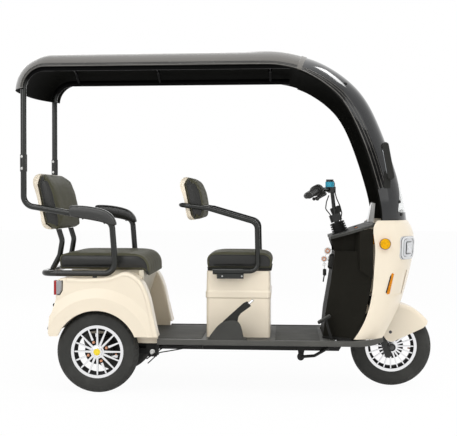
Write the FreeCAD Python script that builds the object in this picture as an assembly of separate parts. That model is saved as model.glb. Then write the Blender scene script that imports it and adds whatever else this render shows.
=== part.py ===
"""Electric passenger auto rickshaw: three wheels, a driver's seat, a rear bench and a canopy.

Millimetres. +X is forward, +Y is to the left, +Z is up. The origin is on the ground,
under the middle of the vehicle's length and width.
"""
import FreeCAD, Part
import math
import os

V = FreeCAD.Vector
os.makedirs("parts", exist_ok=True)

# Driving dimensions
wheelbase = 1552.0
rear_overhang = 484.0
rear_track = 740.0
tyre_diameter = 432.0
tyre_width = 90.0
rim_diameter = 280.0
floor_rise = 62.0
canopy_overhang = 24.0
roof_top = 1808.0
tube_radius = 16.0
skin = 6.0
running_gap = 0.3

tyre_radius = tyre_diameter / 2
rim_radius = rim_diameter / 2
overall_length = tyre_radius + wheelbase + rear_overhang
front_axle_x = overall_length / 2 - tyre_radius
rear_axle_x = front_axle_x - wheelbase
roof_rear_x = -overall_length / 2
axle_height = tyre_radius
floor_top = axle_height + floor_rise
rear_wheel_y = rear_track / 2
wheel_inner_y = rear_wheel_y - tyre_width / 2
body_half_width = rear_wheel_y + tyre_width / 2 + 31.0
roof_half_width = body_half_width + canopy_overhang
floor_half_width = body_half_width - 94.0
sill_half_width = floor_half_width + 20.0


# Basic shapes
def block(x, y, z):
    """A box between the low and high values of each axis."""
    return Part.makeBox(x[1] - x[0], y[1] - y[0], z[1] - z[0], V(x[0], y[0], z[0]))


def rod(start, end, radius):
    """A round bar between two points."""
    start, end = V(*start), V(*end)
    return Part.makeCylinder(radius, (end - start).Length, start, end - start)


def join(shapes, tidy=True):
    """One shape out of pieces that touch, with flat faces merged where that is wanted."""
    shapes = list(shapes)
    whole = shapes[0].fuse(shapes[1:]) if len(shapes) > 1 else shapes[0]
    return whole.removeSplitter() if tidy else whole


def mirrored(shape):
    """The same piece on the other side of the vehicle."""
    return shape.mirror(V(0, 0, 0), V(0, 1, 0))


def both_sides(shape):
    """A piece and its mirror image, as solids that don't touch."""
    return Part.makeCompound(shape.Solids + mirrored(shape).Solids)


def bent_path(points, bend):
    """Straight runs through the points, with a tangent arc of the bend radius at each turn."""
    points = [V(*p) for p in points]
    edges, here = [], points[0]
    for before, corner, after in zip(points, points[1:], points[2:]):
        arrive = (corner - before).normalize()
        leave = (after - corner).normalize()
        turn = arrive.getAngle(leave)
        reach = bend * math.tan(turn / 2)
        first, last = corner - arrive * reach, corner + leave * reach
        inward = (leave - arrive).normalize()
        middle = corner + inward * (bend / math.cos(turn / 2) - bend)
        edges.append(Part.makeLine(here, first))
        edges.append(Part.Arc(first, middle, last).toShape())
        here = last
    edges.append(Part.makeLine(here, points[-1]))
    return Part.Wire(edges)


def bent_rod(points, bend, radius):
    """A round bar that follows a bent path."""
    path = bent_path(points, bend)
    start, heading = V(*points[0]), V(*points[1]) - V(*points[0])
    ring = Part.Wire(Part.makeCircle(radius, start, heading))
    return Part.Solid(path.makePipeShell([ring], True, False))


def side_face(points, y=0.0):
    """A flat face in the X-Z plane; a point with four values is an arc's middle and its end."""
    edges, here = [], points[0]
    for step in list(points[1:]) + [points[0]]:
        if len(step) == 4:
            through, end = step[:2], step[2:]
            edges.append(Part.Arc(V(here[0], y, here[1]), V(through[0], y, through[1]),
                                  V(end[0], y, end[1])).toShape())
        else:
            end = step
            if abs(end[0] - here[0]) + abs(end[1] - here[1]) > 1e-6:
                edges.append(Part.makeLine(V(here[0], y, here[1]), V(end[0], y, end[1])))
        here = end
    return Part.Face(Part.Wire(edges))


def side_slab(points, y_low, y_high):
    """An X-Z outline given a width across the vehicle."""
    return side_face(points, y_low).extrude(V(0, y_high - y_low, 0))


def smooth(points):
    """A smooth curve through the points."""
    curve = Part.BSplineCurve()
    curve.interpolate([V(*p) for p in points])
    return curve.toShape()


def curved_slab(curve, corners, y_low, y_high):
    """A slab whose X-Z outline is a smooth curve closed by straight lines through corners."""
    line = smooth([(x, y_low, z) for x, z in curve])
    points = [curve[-1]] + list(corners) + [curve[0]]
    edges = [line]
    for a, b in zip(points, points[1:]):
        edges.append(Part.makeLine(V(a[0], y_low, a[1]), V(b[0], y_low, b[1])))
    return Part.Face(Part.Wire(edges)).extrude(V(0, y_high - y_low, 0))


def moved_inwards(points, depth):
    """A closed outline's points, each moved into the shape by a depth."""
    area = 0.0
    for a, b in zip(points, points[1:] + points[:1]):
        area += a[0] * b[1] - b[0] * a[1]
    turn = 1.0 if area > 0 else -1.0
    moved = []
    for before, here, after in zip(points[-1:] + points[:-1], points, points[1:] + points[:1]):
        first = V(here[0] - before[0], here[1] - before[1], 0).normalize()
        second = V(after[0] - here[0], after[1] - here[1], 0).normalize()
        normal = V(-(first.y + second.y), first.x + second.x, 0).normalize()
        reach = depth * turn / max(0.5, abs(normal.dot(V(-first.y, first.x, 0))))
        moved.append((here[0] + normal.x * reach, here[1] + normal.y * reach))
    return moved


def front_slab(centre_z, half_width, half_height, corner, x_low, x_high):
    """A rounded rectangle seen from the front, given a length along the vehicle."""
    solid = block((x_low, x_high), (-half_width, half_width), (centre_z - half_height, centre_z + half_height))
    return round_edges(solid, corner, along_x)


def along_x(edge):
    """Whether an edge runs straight along the vehicle."""
    box = edge.BoundBox
    return box.YMax - box.YMin < 1e-6 and box.ZMax - box.ZMin < 1e-6


def polar(centre, radius, degrees):
    """A point at an angle around a centre, in a flat plane."""
    angle = math.radians(degrees)
    return centre[0] + radius * math.cos(angle), centre[1] + radius * math.sin(angle)


def round_edges(shape, radius, chosen):
    """Fillet the edges that a test picks."""
    edges = [e for e in shape.Edges if chosen(e)]
    return shape.makeFillet(radius, edges) if edges else shape


def at_side(edge):
    """Whether an edge lies wholly in a plane of constant Y."""
    box = edge.BoundBox
    return box.YMax - box.YMin < 1e-6


# Wheels
tyre_wall = 14.0
rim_width = 64.0
rim_lip = 12.0
rim_barrel = 5.0
hub_radius = 36.0
hub_bore = 12.0
rear_spokes = 16
front_spokes = 20
axle_radius = 11.95
lug_circle = 52.0
lug_radius = 7.0
lug_turn = 22.5
tyre_fit = 0.2


def revolve_ring(outline, centre):
    """Turn a closed outline of (distance from the middle plane, radius) about a wheel's axis."""
    edges, here = [], outline[0]
    for step in list(outline[1:]) + [outline[0]]:
        if len(step) == 4:
            mid, end = step[:2], step[2:]
            edges.append(Part.Arc(V(0, here[0], here[1]), V(0, mid[0], mid[1]),
                                  V(0, end[0], end[1])).toShape())
        else:
            end = step
            if abs(end[0] - here[0]) + abs(end[1] - here[1]) > 1e-6:
                edges.append(Part.makeLine(V(0, here[0], here[1]), V(0, end[0], end[1])))
        here = end
    solid = Part.Face(Part.Wire(edges)).revolve(V(0, 0, 0), V(0, 1, 0), 360)
    solid = Part.Solid(solid) if solid.ShapeType == "Shell" else solid
    solid.translate(V(*centre))
    return solid


def tyre(centre):
    """A round-shouldered tyre with an open bead, seated on its rim."""
    half = tyre_width / 2
    bead = rim_width / 2 - rim_barrel - tyre_fit
    bead_radius = rim_radius - rim_lip + tyre_fit
    shoulder = tyre_radius - 20.0
    side_z = (rim_radius + shoulder) / 2
    outline = [
        (-bead, bead_radius),
        (-bead, rim_radius + 1.0),
        (-rim_width / 2 - 3.0, rim_radius + 2.0),
        (-half, side_z, -half + 4.0, shoulder),
        (0.0, tyre_radius, half - 4.0, shoulder),
        (half, side_z, rim_width / 2 + 3.0, rim_radius + 2.0),
        (bead, rim_radius + 1.0),
        (bead, bead_radius),
        (bead - 8.0, bead_radius),
        (half - tyre_wall, side_z, half - tyre_wall - 4.0, shoulder - 8.0),
        (0.0, tyre_radius - tyre_wall, tyre_wall + 4.0 - half, shoulder - 8.0),
        (tyre_wall - half, side_z, 8.0 - bead, bead_radius),
    ]
    return revolve_ring(outline, centre)


def rim(centre, spokes, face_side, through=False):
    """A cast rim: barrel, hub and tapered spokes that fan out from the hub to the lip."""
    half = rim_width / 2
    seat = rim_radius - rim_lip
    drop = seat - 14.0
    barrel = revolve_ring([
        (-half, rim_radius), (-half, seat - rim_barrel), (-half + 14.0, seat - rim_barrel),
        (-half + 20.0, drop - rim_barrel), (half - 20.0, drop - rim_barrel),
        (half - 14.0, seat - rim_barrel), (half, seat - rim_barrel), (half, rim_radius),
        (half - rim_barrel, rim_radius), (half - rim_barrel, seat), (half - 14.0, seat),
        (half - 18.0, drop), (18.0 - half, drop), (14.0 - half, seat),
        (rim_barrel - half, seat), (rim_barrel - half, rim_radius)], (0, 0, 0))
    hub = rod((0, -half + 2.0, 0), (0, half - 2.0, 0), hub_radius)
    cap_side = face_side * (half - 2.0)
    cap = rod((0, cap_side, 0), (0, cap_side + face_side * 6.0, 0), hub_radius - 9.0)
    bars = []
    for count in range(spokes):
        beside_lug = not through and count % 4 == 3
        root = lug_circle + lug_radius + 4.0 if beside_lug else hub_radius - 4.0
        bar = spoke(face_side, root, seat - 2.0, 4.6 if through else 6.0)
        bar.rotate(V(0, 0, 0), V(0, 1, 0), count * 360.0 / spokes)
        bars.append(bar)
    lugs = []
    if not through:
        for count in range(4):
            x, z = polar((0, 0), lug_circle, lug_turn + count * 90.0)
            lugs.append(rod((x, face_side * (half - 26.0), z), (x, face_side * (half - 8.0), z), lug_radius))
    flange_radius = lug_circle + lug_radius + 8.0
    flange_low = 20.0 if through else 30.0
    flange = rod((0, face_side * (half - flange_low), 0), (0, face_side * (half - 12.0), 0), flange_radius)
    bore = rod((0, -rim_width, 0), (0, rim_width, 0), hub_bore)
    if not through:
        bore = rod((0, -face_side * rim_width, 0), (0, face_side * (half - 6.0), 0), hub_bore)
    solid = join([barrel, hub, cap, flange] + bars + lugs).cut(bore)
    solid.translate(V(*centre))
    return solid


def spoke(face_side, root, tip, wide):
    """One spoke pointing up, wide at the hub and narrow at the lip, dished towards the face."""
    half = rim_width / 2
    outer = face_side * (half - 4.0)
    inner = face_side * (half - 16.0)
    tip_outer = face_side * (half - 6.0)
    tip_inner = face_side * (half - 14.0)
    narrow = wide * 0.6
    base = Part.makePolygon([V(-wide, outer, root), V(wide, outer, root), V(wide, inner, root),
                             V(-wide, inner, root), V(-wide, outer, root)])
    end = Part.makePolygon([V(-narrow, tip_outer, tip), V(narrow, tip_outer, tip), V(narrow, tip_inner, tip),
                            V(-narrow, tip_inner, tip), V(-narrow, tip_outer, tip)])
    return Part.makeLoft([base, end], True, True)


# Chassis: a ladder frame under the floor, the steering head, and the rear frame
rail_y = wheel_inner_y - 115.0
rail_height = 40.0
rail_width = 30.0
rail_top = floor_top - 26.0
frame_front_x = front_axle_x - tyre_radius - 94.0
frame_rear_x = rear_axle_x - 170.0
rake_degrees = 18.4
head_ground_x = front_axle_x + 5.0
crown_z = tyre_diameter + 38.0
head_low_z = crown_z + 90.0
head_high_z = head_low_z + 140.0
head_outer = 26.0
stem_radius = 14.0
head_bore = stem_radius + 0.1
rake = math.radians(rake_degrees)
kick_up_x = rear_axle_x + 120.0
rear_rail_top = axle_height + 264.0
carrier_spacing = 300.0
carrier_hole = 5.5
drop_slope = 10.0


def axis_point(z):
    """The point of the steering axis at a height."""
    return head_ground_x - z * math.tan(rake), 0.0, z


steer_up = V(-math.sin(rake), 0, math.cos(rake))
steer_ahead = V(math.cos(rake), 0, math.sin(rake))


def along_axis(z, distance):
    """A point on the steering axis, a distance further up it from the given height."""
    p = V(*axis_point(z)) + steer_up * distance
    return p.x, p.y, p.z


def chassis_frame():
    """Two rails that kick up before the rear axle, cross members, and the head tube on its gussets."""
    low, high = rail_top - rail_height, rail_top
    outline = [(frame_rear_x, rear_rail_top), (kick_up_x - 36.0, rear_rail_top), (kick_up_x, high),
               (frame_front_x, high), (frame_front_x + 40.0, high + 60.0),
               (frame_front_x + 80.0, high + 60.0), (frame_front_x + 20.0, low),
               (kick_up_x - 32.0, low), (kick_up_x - 68.0, rear_rail_top - rail_height),
               (frame_rear_x, rear_rail_top - rail_height)]
    rail = side_slab(outline, rail_y - rail_width / 2, rail_y + rail_width / 2)
    pieces = [rail, mirrored(rail)]
    for x in (rear_axle_x + 366.0, 40.0, 300.0, frame_front_x - 20.0):
        pieces.append(block((x - 15.0, x + 15.0), (-rail_y, rail_y), (low + 5.0, high - 5.0)))
    for x in (frame_rear_x + 15.0, kick_up_x - 90.0):
        pieces.append(block((x - 15.0, x + 15.0), (-rail_y, rail_y),
                            (rear_rail_top - rail_height + 5.0, rear_rail_top - 5.0)))
    foot_x = frame_front_x + 50.0
    for side in (-1, 1):
        pieces.append(rod((foot_x, side * rail_y, high + 30.0),
                          (axis_point(head_low_z + 70.0)[0], side * 10.0, head_low_z + 70.0), tube_radius))
    pieces.append(block((foot_x - 20.0, foot_x + 20.0), (-rail_y, rail_y), (high + 15.0, high + 45.0)))
    body = join(pieces)
    head = rod(axis_point(head_low_z), along_axis(head_low_z, head_high_z - head_low_z), head_outer)
    bore = rod(along_axis(head_low_z, -200.0), along_axis(head_low_z, 400.0), head_bore)
    frame = join([body, head]).cut(bore)
    for y in (-carrier_spacing / 2, carrier_spacing / 2):
        frame = frame.cut(rod((frame_rear_x - 1.0, y, rear_rail_top - rail_height / 2),
                              (frame_rear_x + 31.0, y, rear_rail_top - rail_height / 2), carrier_hole))
    return frame


# Floor and sills
floor_front_x = front_axle_x - 220.0
deck_gap = 4.0
floor_rear_x = rear_axle_x + 312.0
step_rear_x = rear_axle_x + 134.0
inner_wall_y = wheel_inner_y - 13.0
sill_low = floor_top - 25.0
mat_depth = 3.0
box_rear_x = rear_axle_x + 560.0
box_front_x = box_rear_x + 340.0
rear_mat = (step_rear_x + 6.0, box_rear_x - 18.0, inner_wall_y - 12.0)
front_mat = (box_front_x + 27.0, frame_front_x - 80.0, floor_half_width - 32.0)


def floor_board():
    """The foot deck with its narrower step between the wheels, and recesses for the mats."""
    deck = block((floor_rear_x, frame_front_x - deck_gap), (-floor_half_width, floor_half_width),
                 (rail_top, floor_top))
    step_half = inner_wall_y - running_gap
    step = block((step_rear_x, floor_rear_x + 1.0), (-step_half, step_half), (rail_top, floor_top))
    deck = join([deck, step])
    for x0, x1, half in (rear_mat, front_mat):
        deck = deck.cut(block((x0, x1), (-half, half), (floor_top - mat_depth, floor_top + 1.0)))
    return deck


def floor_mats():
    """Ribbed mats, front and rear, lying in the deck's recesses."""
    mats = []
    for x0, x1, half in (rear_mat, front_mat):
        mats.append(block((x0 + 1.0, x1 - 1.0), (1.0 - half, half - 1.0), (floor_top - mat_depth, floor_top + 2.0)))
    return Part.makeCompound(mats)


def side_sills():
    """The long rounded skirts beside the deck, turned up at their front ends."""
    x0, x1 = floor_rear_x, floor_front_x + 150.0
    curve = [(x1 - 150.0, sill_low), (x1 - 80.0, sill_low + 4.0), (x1 - 30.0, sill_low + 16.0), (x1, sill_low + 30.0)]
    corners = [(x1 - 2.0, floor_top + 24.0), (x1 - 60.0, floor_top + 12.0), (x1 - 150.0, floor_top + 4.0),
               (x0, floor_top + 4.0), (x0, sill_low)]
    bar = curved_slab(curve, corners, -sill_half_width, -floor_half_width)
    bar = round_edges(bar, 6.0, lambda e: at_side(e) and abs(e.BoundBox.YMin + sill_half_width) < 1e-6
                      and e.BoundBox.XMax - e.BoundBox.XMin > 300.0)
    return both_sides(bar)


# Rear body over the wheels
body_rear_x = rear_axle_x - 216.0
body_front_x = rear_axle_x + 321.0
flank_y = body_half_width - 14.0
body_low = axle_height + 84.0
body_top = axle_height + 388.0
riser_top = body_top + 36.0
arch_radius = tyre_radius + 3.0
bulge_radius = tyre_radius + 134.0
strip_width = 21.0
strip_gap = 1.2
tail_front_x = rear_axle_x - 158.0
seat_half_width = inner_wall_y - 3.0
step_slope = 100.0


def fender_curve():
    """The fender's edge in side view: from the tail, over the top and down the front."""
    rx, z = rear_axle_x, axle_height
    return [(rx - 216.0, z + 354.0), (rx - 211.0, z + 374.0), (rx - 192.0, z + 384.0), (rx - 110.0, z + 386.0),
            (rx, z + 387.0), (rx + 45.0, z + 390.0), (rx + 80.0, z + 397.0), (rx + 114.0, z + 411.0),
            (rx + 152.0, z + 420.0), (rx + 192.0, z + 408.0), (rx + 232.0, z + 376.0), (rx + 264.0, z + 320.0),
            (rx + 288.0, z + 232.0), (rx + 306.0, z + 144.0), (rx + 321.0, z + 84.0)]


def fender_corners():
    """The rest of the fender's outline: its low edge and the flared tail."""
    rx, z = rear_axle_x, axle_height
    return [(rx - 247.0, z + 84.0), (rx - 253.0, z + 102.0), (rx - 247.0, z + 186.0), (rx - 233.0, z + 210.0),
            (rx - 216.0, z + 266.0)]


def fender_outline(depth):
    """The fender's outline moved inwards, as its curve and its corners."""
    curve = fender_curve()
    points = curve + fender_corners()
    if depth:
        points = moved_inwards(points, depth)
    return points[:len(curve)], points[len(curve):]


def fender_wire(depth, y):
    """The fender's outline moved inwards by a depth, as a closed wire in a plane across the vehicle."""
    curve, corners = fender_outline(depth)
    points = [curve[-1]] + corners + [curve[0]]
    edges = [smooth([(x, y, z) for x, z in curve])]
    for a, b in zip(points, points[1:]):
        edges.append(Part.makeLine(V(a[0], y, a[1]), V(b[0], y, b[1])))
    return Part.Wire(edges)


def rounded_fender(depth, y_low, y_high, radius):
    """A solid with the fender's outline, its edges rounded on both sides."""
    shoulder = radius * (1 - math.sqrt(0.5))
    wires = [fender_wire(depth + radius, y_low), fender_wire(depth + shoulder, y_low + shoulder),
             fender_wire(depth, y_low + radius), fender_wire(depth, y_high - radius),
             fender_wire(depth + shoulder, y_high - shoulder), fender_wire(depth + radius, y_high)]
    return Part.makeLoft(wires, True, True)


def wheel_bulge(depth):
    """The flank's swelling round the wheel: a flat cone about the axle."""
    curve, corners = fender_outline(depth)
    base, tip = -flank_y + depth + 4.0, -body_half_width + depth
    cone = Part.makeCone(bulge_radius, bulge_radius - 66.0, base - tip, V(rear_axle_x, base, axle_height), V(0, -1, 0))
    return cone.common(curved_slab(curve, corners, -body_half_width, -inner_wall_y))


def fender_shell():
    """The right-hand fender as a closed skin, open below and round the wheel."""
    outer = rounded_fender(0.0, -flank_y, -inner_wall_y, 14.0).fuse(wheel_bulge(0.0))
    hollow = rounded_fender(skin, skin - flank_y, -inner_wall_y - skin, 8.0).fuse(wheel_bulge(skin))
    below = hollow.translated(V(0, 0, -20.0))
    arch = rod((rear_axle_x, -body_half_width - 1.0, axle_height),
               (rear_axle_x, -inner_wall_y - skin - 2.0, axle_height), arch_radius)
    return outer.cut(hollow).cut(below).cut(arch)


def flank_region(grow):
    """The part of the fender's outer side that belongs to the rear body."""
    curve, corners = fender_outline(strip_width - grow)
    rx, z = rear_axle_x, axle_height
    edge = [p for p in curve if p[0] > rx - 100.0]
    corners = [(edge[-1][0] + 4.0, z), (rx - 400.0, z), (rx - 400.0, z + 500.0), (tail_front_x + grow, z + 500.0),
               (tail_front_x + grow, edge[0][1])]
    return curved_slab(edge, corners, -body_half_width - 10.0, -flank_y + 9.0)


def tail():
    """The rear end across the whole width: the closed back of the tub."""
    outer = rounded_fender(0.0, -flank_y, flank_y, 14.0)
    inner = rounded_fender(skin, skin - flank_y, flank_y - skin, 8.0)
    inner = inner.fuse(inner.translated(V(0, 0, -20.0)))
    arch = rod((rear_axle_x, -body_half_width, axle_height), (rear_axle_x, body_half_width, axle_height), arch_radius)
    keep = block((body_rear_x - 80.0, tail_front_x), (-500.0, 500.0), (axle_height, axle_height + 500.0))
    return outer.cut(inner).cut(arch).common(keep)


def rear_body():
    """The cream body: both outer flanks with their round arches, the tail and the shelf under the bench."""
    flank = fender_shell().common(flank_region(0.0))
    shelf = block((tail_front_x - 1.0, rear_axle_x + 228.0), (running_gap - inner_wall_y, inner_wall_y - running_gap),
                  (body_top - skin, body_top))
    lip = block((tail_front_x - 10.0, tail_front_x), (1.0 - flank_y, flank_y - 1.0), (body_top - 60.0, body_top - 8.0))
    whole = join([tail(), flank, mirrored(flank), shelf, lip], tidy=False)
    return whole.cut(tail_lamp_blocks(running_gap))


def rear_inner_walls():
    """The walls beside the foot space, each with a strip that wraps the fender's front and top edge."""
    keep = block((tail_front_x + strip_gap, body_front_x + 20.0), (-500.0, 0.0), (axle_height, axle_height + 500.0))
    wall = fender_shell().cut(flank_region(strip_gap)).common(keep)
    foot = side_slab([(step_rear_x, rail_top + 2.0), (floor_rear_x - 1.0, rail_top + 2.0),
                      (floor_rear_x - 1.0, body_low + 10.0), (step_rear_x, body_low + 10.0)],
                     -inner_wall_y - skin, -inner_wall_y)
    return both_sides(join([wall, foot], tidy=False))


def seat_riser():
    """The sloping panel under the front of the bench, and the rim that the cushion rests on."""
    half = inner_wall_y - 1.0
    top_x, foot_x = rear_axle_x + 234.0, step_rear_x - 4.0
    low_z = floor_top + running_gap
    face = side_slab([(foot_x, low_z), (foot_x + skin, low_z), (top_x, body_top), (top_x, riser_top - running_gap),
                      (top_x - 24.0, riser_top - running_gap), (top_x - 24.0, body_top + running_gap),
                      (top_x - 5.0, body_top + running_gap), (top_x - 5.0, body_top - 8.0)], -half, half)
    rails = []
    for y in (24.0 - half, half - 54.0):
        rails.append(block((tail_front_x + 2.0, top_x - 20.0), (y, y + 30.0),
                           (body_top + running_gap, riser_top - running_gap)))
    return join([face] + rails)


# Heavy masses
box_half_width = 222.0
box_top = floor_top + 354.0


def battery_pack():
    """The traction battery in its plain case, inside the driver's seat box."""
    return block((box_rear_x + 30.0, box_front_x - 30.0), (-box_half_width + 30.0, box_half_width - 30.0),
                 (floor_top + running_gap, floor_top + 260.0))


def rear_axle():
    """The driven axle: tube, motor with its gear case, and the two wheel spindles."""
    tube_end = rear_wheel_y - rim_width / 2 - 12.0
    pieces = [rod((rear_axle_x, -tube_end, axle_height), (rear_axle_x, tube_end, axle_height), 28.0),
              rod((rear_axle_x, -20.0, axle_height), (rear_axle_x, 80.0, axle_height), 78.0),
              rod((rear_axle_x + 50.0, -150.0, axle_height + 16.0), (rear_axle_x + 50.0, -20.0, axle_height + 16.0),
                  58.0)]
    spindle_end = rear_wheel_y + rim_width / 2 - 12.0
    pieces.append(rod((rear_axle_x, -spindle_end, axle_height), (rear_axle_x, spindle_end, axle_height), axle_radius))
    for side in (-1, 1):
        pieces.append(rod((rear_axle_x, side * (tube_end - 20.0), axle_height),
                          (rear_axle_x, side * tube_end, axle_height), 70.0))
    return join(pieces)


pivot_x = rear_axle_x + 278.0
pivot_z = axle_height - 13.0
arm_y = wheel_inner_y - 75.0


def swing_arms():
    """Two trailing arms from the frame's pivot brackets to the axle, each with its bolt."""
    arm = side_slab([(pivot_x - 20.0, pivot_z - 14.0), (pivot_x + 12.0, pivot_z - 14.0),
                     (pivot_x + 12.0, pivot_z + 14.0), (pivot_x - 20.0, pivot_z + 14.0),
                     (rear_axle_x + 29.0, axle_height + 20.0), (rear_axle_x + 29.0, axle_height - 20.0)],
                    -arm_y - 12.0, -arm_y + 12.0)
    bolt = rod((pivot_x, -arm_y - 34.0, pivot_z), (pivot_x, -arm_y + 30.0, pivot_z), 9.0)
    plate = side_slab([(pivot_x - 26.0, pivot_z - 26.0), (pivot_x + 22.0, pivot_z - 26.0),
                       (pivot_x + 36.0, rail_top - 1.0), (pivot_x - 40.0, rail_top - 1.0)],
                      -arm_y - 26.0, -arm_y - 18.0)
    link = block((pivot_x - 10.0, pivot_x + 30.0), (-arm_y - 18.0, -rail_y - rail_width / 2 - running_gap),
                 (rail_top - 30.0, rail_top - 6.0))
    return both_sides(join([arm, bolt, plate, link]))


def rear_shocks():
    """Coil-over dampers between the axle and the rear frame rails."""
    low_z, high_z = axle_height + 28.0 + running_gap, rear_rail_top - rail_height - running_gap
    x, y = rear_axle_x, rail_y
    pieces = [rod((x, y, low_z), (x, y, high_z), 9.0), rod((x, y, low_z), (x, y, low_z + 22.0), 24.0),
              rod((x, y, high_z - 16.0), (x, y, high_z), 24.0)]
    coils = 6
    pitch = (high_z - low_z - 40.0) / coils
    for count in range(coils):
        middle = low_z + 24.0 + pitch * (count + 0.5)
        pieces.append(Part.makeTorus(20.0, 5.0, V(x, y, middle), V(0, 0, 1)))
        pieces.append(rod((x, y, middle - 2.0), (x, y, middle + 2.0), 19.0))
    return both_sides(join(pieces))


# Rear bench: arm tubes, pads, backrest and cushion
post_x = roof_rear_x + 92.0
post_y = body_half_width - 54.0
sleeve_low = riser_top + 520.0
sleeve_high = riser_top + 610.0
sleeve_radius = tube_radius + 3.0
arm_low_z = riser_top - 14.0
arm_bend = 58.0
arm_back_x = rear_axle_x - 290.0
stay_y = 167.0
stay_radius = 15.0


def rear_arm_route():
    """The right-hand arm tube's turning points, from its post to the middle behind the bench."""
    return [(post_x, -post_y, sleeve_high - 40.0), (post_x, -post_y, riser_top + 344.0),
            (rear_axle_x + 76.0, -post_y, riser_top + 264.0), (rear_axle_x + 98.0, -post_y, arm_low_z),
            (arm_back_x, -post_y, arm_low_z), (arm_back_x, 0.0, arm_low_z)]


def rear_arm_frame():
    """One bent tube: up behind the bench on each side, forward as an arm, down and back again."""
    half = bent_rod(rear_arm_route(), arm_bend, tube_radius)
    sleeve = rod((post_x, -post_y, sleeve_low), (post_x, -post_y, sleeve_high), sleeve_radius)
    socket = rod((post_x, -post_y, sleeve_high - 40.0), (post_x, -post_y, sleeve_high + 1.0), tube_radius + 0.1)
    foot = rod((rear_axle_x - 14.0, -post_y, body_top + running_gap), (rear_axle_x - 14.0, -post_y, arm_low_z), 12.0)
    stay = bent_rod([(arm_back_x + 32.0, -stay_y, riser_top + 232.0), (arm_back_x + 58.0, -stay_y, riser_top + 150.0),
                     (arm_back_x + 44.0, -stay_y, riser_top + 68.0), (arm_back_x + 1.0, -stay_y, arm_low_z + 2.0)],
                    60.0, stay_radius)
    stay = stay.cut(rear_back_shell(running_gap)).cut(rear_back_pad())
    stay = max(stay.Solids, key=lambda solid: solid.Volume)
    half = join([half, sleeve, foot, stay]).cut(socket)
    return join([half, mirrored(half)])


def rear_arm_pads():
    """Soft pads on the arm tubes."""
    z, x = riser_top + 320.0, rear_axle_x
    curve = [(x - 150.0, z + 22.0), (x - 100.0, z + 22.0), (x - 40.0, z + 17.0), (x + 16.0, z + 6.0),
             (x + 60.0, z - 12.0), (x + 90.0, z - 42.0), (x + 102.0, z - 82.0)]
    corners = [(x + 84.0, z - 84.0), (x + 66.0, z - 62.0), (x + 12.0, z - 34.0), (x - 144.0, z - 2.0)]
    pad = curved_slab(curve, corners, -post_y - 25.0, -post_y + 25.0)
    pad = round_edges(pad, 9.0, lambda e: at_side(e) and e.BoundBox.XMax - e.BoundBox.XMin > 200.0
                      and e.BoundBox.ZMax - e.BoundBox.ZMin > 90.0)
    return both_sides(pad.cut(bent_rod(rear_arm_route(), arm_bend, tube_radius + running_gap)))


rear_back_half = seat_half_width


def back_panel(back, pad_gap, half_width, centre_z, half_height, corner):
    """A moulded seat back: a curved side outline cut to a rounded rectangle seen from the front."""
    edge = curved_slab(back[0], back[1], -half_width, half_width)
    x_low = min(p[0] for p in back[0] + back[1]) - 10.0
    x_high = max(p[0] for p in back[0] + back[1]) + 10.0
    return edge.common(front_slab(centre_z, half_width - pad_gap, half_height, corner, x_low, x_high))


def rear_back_shell(grow=0.0):
    """The moulded back of the bench."""
    x, z = arm_back_x, riser_top
    outer = [(x - 36.0 - grow, z + 512.0), (x - 66.0 - grow, z + 496.0), (x - 71.0 - grow, z + 461.0),
             (x - 57.0 - grow, z + 410.0), (x - 42.0 - grow, z + 350.0), (x - 28.0 - grow, z + 270.0),
             (x - 17.0 - grow, z + 226.0 - grow), (x + 21.0, z + 213.0 - grow)]
    inner = [(x + 22.0, z + 222.0), (x - 4.0, z + 240.0), (x - 18.0, z + 300.0), (x - 32.0, z + 380.0),
             (x - 48.0, z + 450.0), (x - 36.0, z + 500.0)]
    return back_panel((outer, inner), -grow, rear_back_half + grow, z + 362.0, 152.0 + grow, 56.0)


def rear_back_pad():
    """The bench's back cushion, in front of its shell."""
    x, z = arm_back_x, riser_top
    front = [(x - 48.0, z + 506.0), (x - 24.0, z + 512.0), (x + 8.0, z + 490.0), (x + 40.0, z + 410.0),
             (x + 58.0, z + 330.0), (x + 70.0, z + 270.0), (x + 66.0, z + 226.0), (x + 24.0, z + 212.0)]
    rear = [(x + 0.0, z + 232.0), (x - 10.0, z + 260.0), (x - 34.0, z + 380.0), (x - 56.0, z + 450.0)]
    pad = back_panel((front, rear), 3.0, rear_back_half, z + 362.0, 150.0, 60.0)
    return pad.cut(rear_back_shell())


def rear_cushion():
    """The bench cushion, with its nose turned down over the riser."""
    x, z = rear_axle_x, riser_top
    return side_slab([(x - 216.0, z), (x - 224.0, z + 56.0), (x - 208.0, z + 82.0), (x - 158.0, z + 88.0),
                      (x + 190.0, z + 84.0), (x + 236.0, z + 66.0), (x + 262.0, z + 14.0), (x + 264.0, z - 34.0),
                      (x + 257.0, z - 34.0), (x + 236.0, z)],
                     -seat_half_width, seat_half_width)


# Canopy: tubes, roof, front frame and screen
rail_z = roof_top - 106.0
canopy_front_x = front_axle_x - 550.0
roof_skin = 8.0
roof_rear_radius = 221.0
roof_drop = 108.0
crown_power = 3.2
roof_centre_x = roof_rear_x + roof_rear_radius
roof_centre_z = roof_top - roof_rear_radius
roof_flat_end = front_axle_x - 680.0
front_bend_radius = 655.0
band_turn = 19.0


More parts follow.
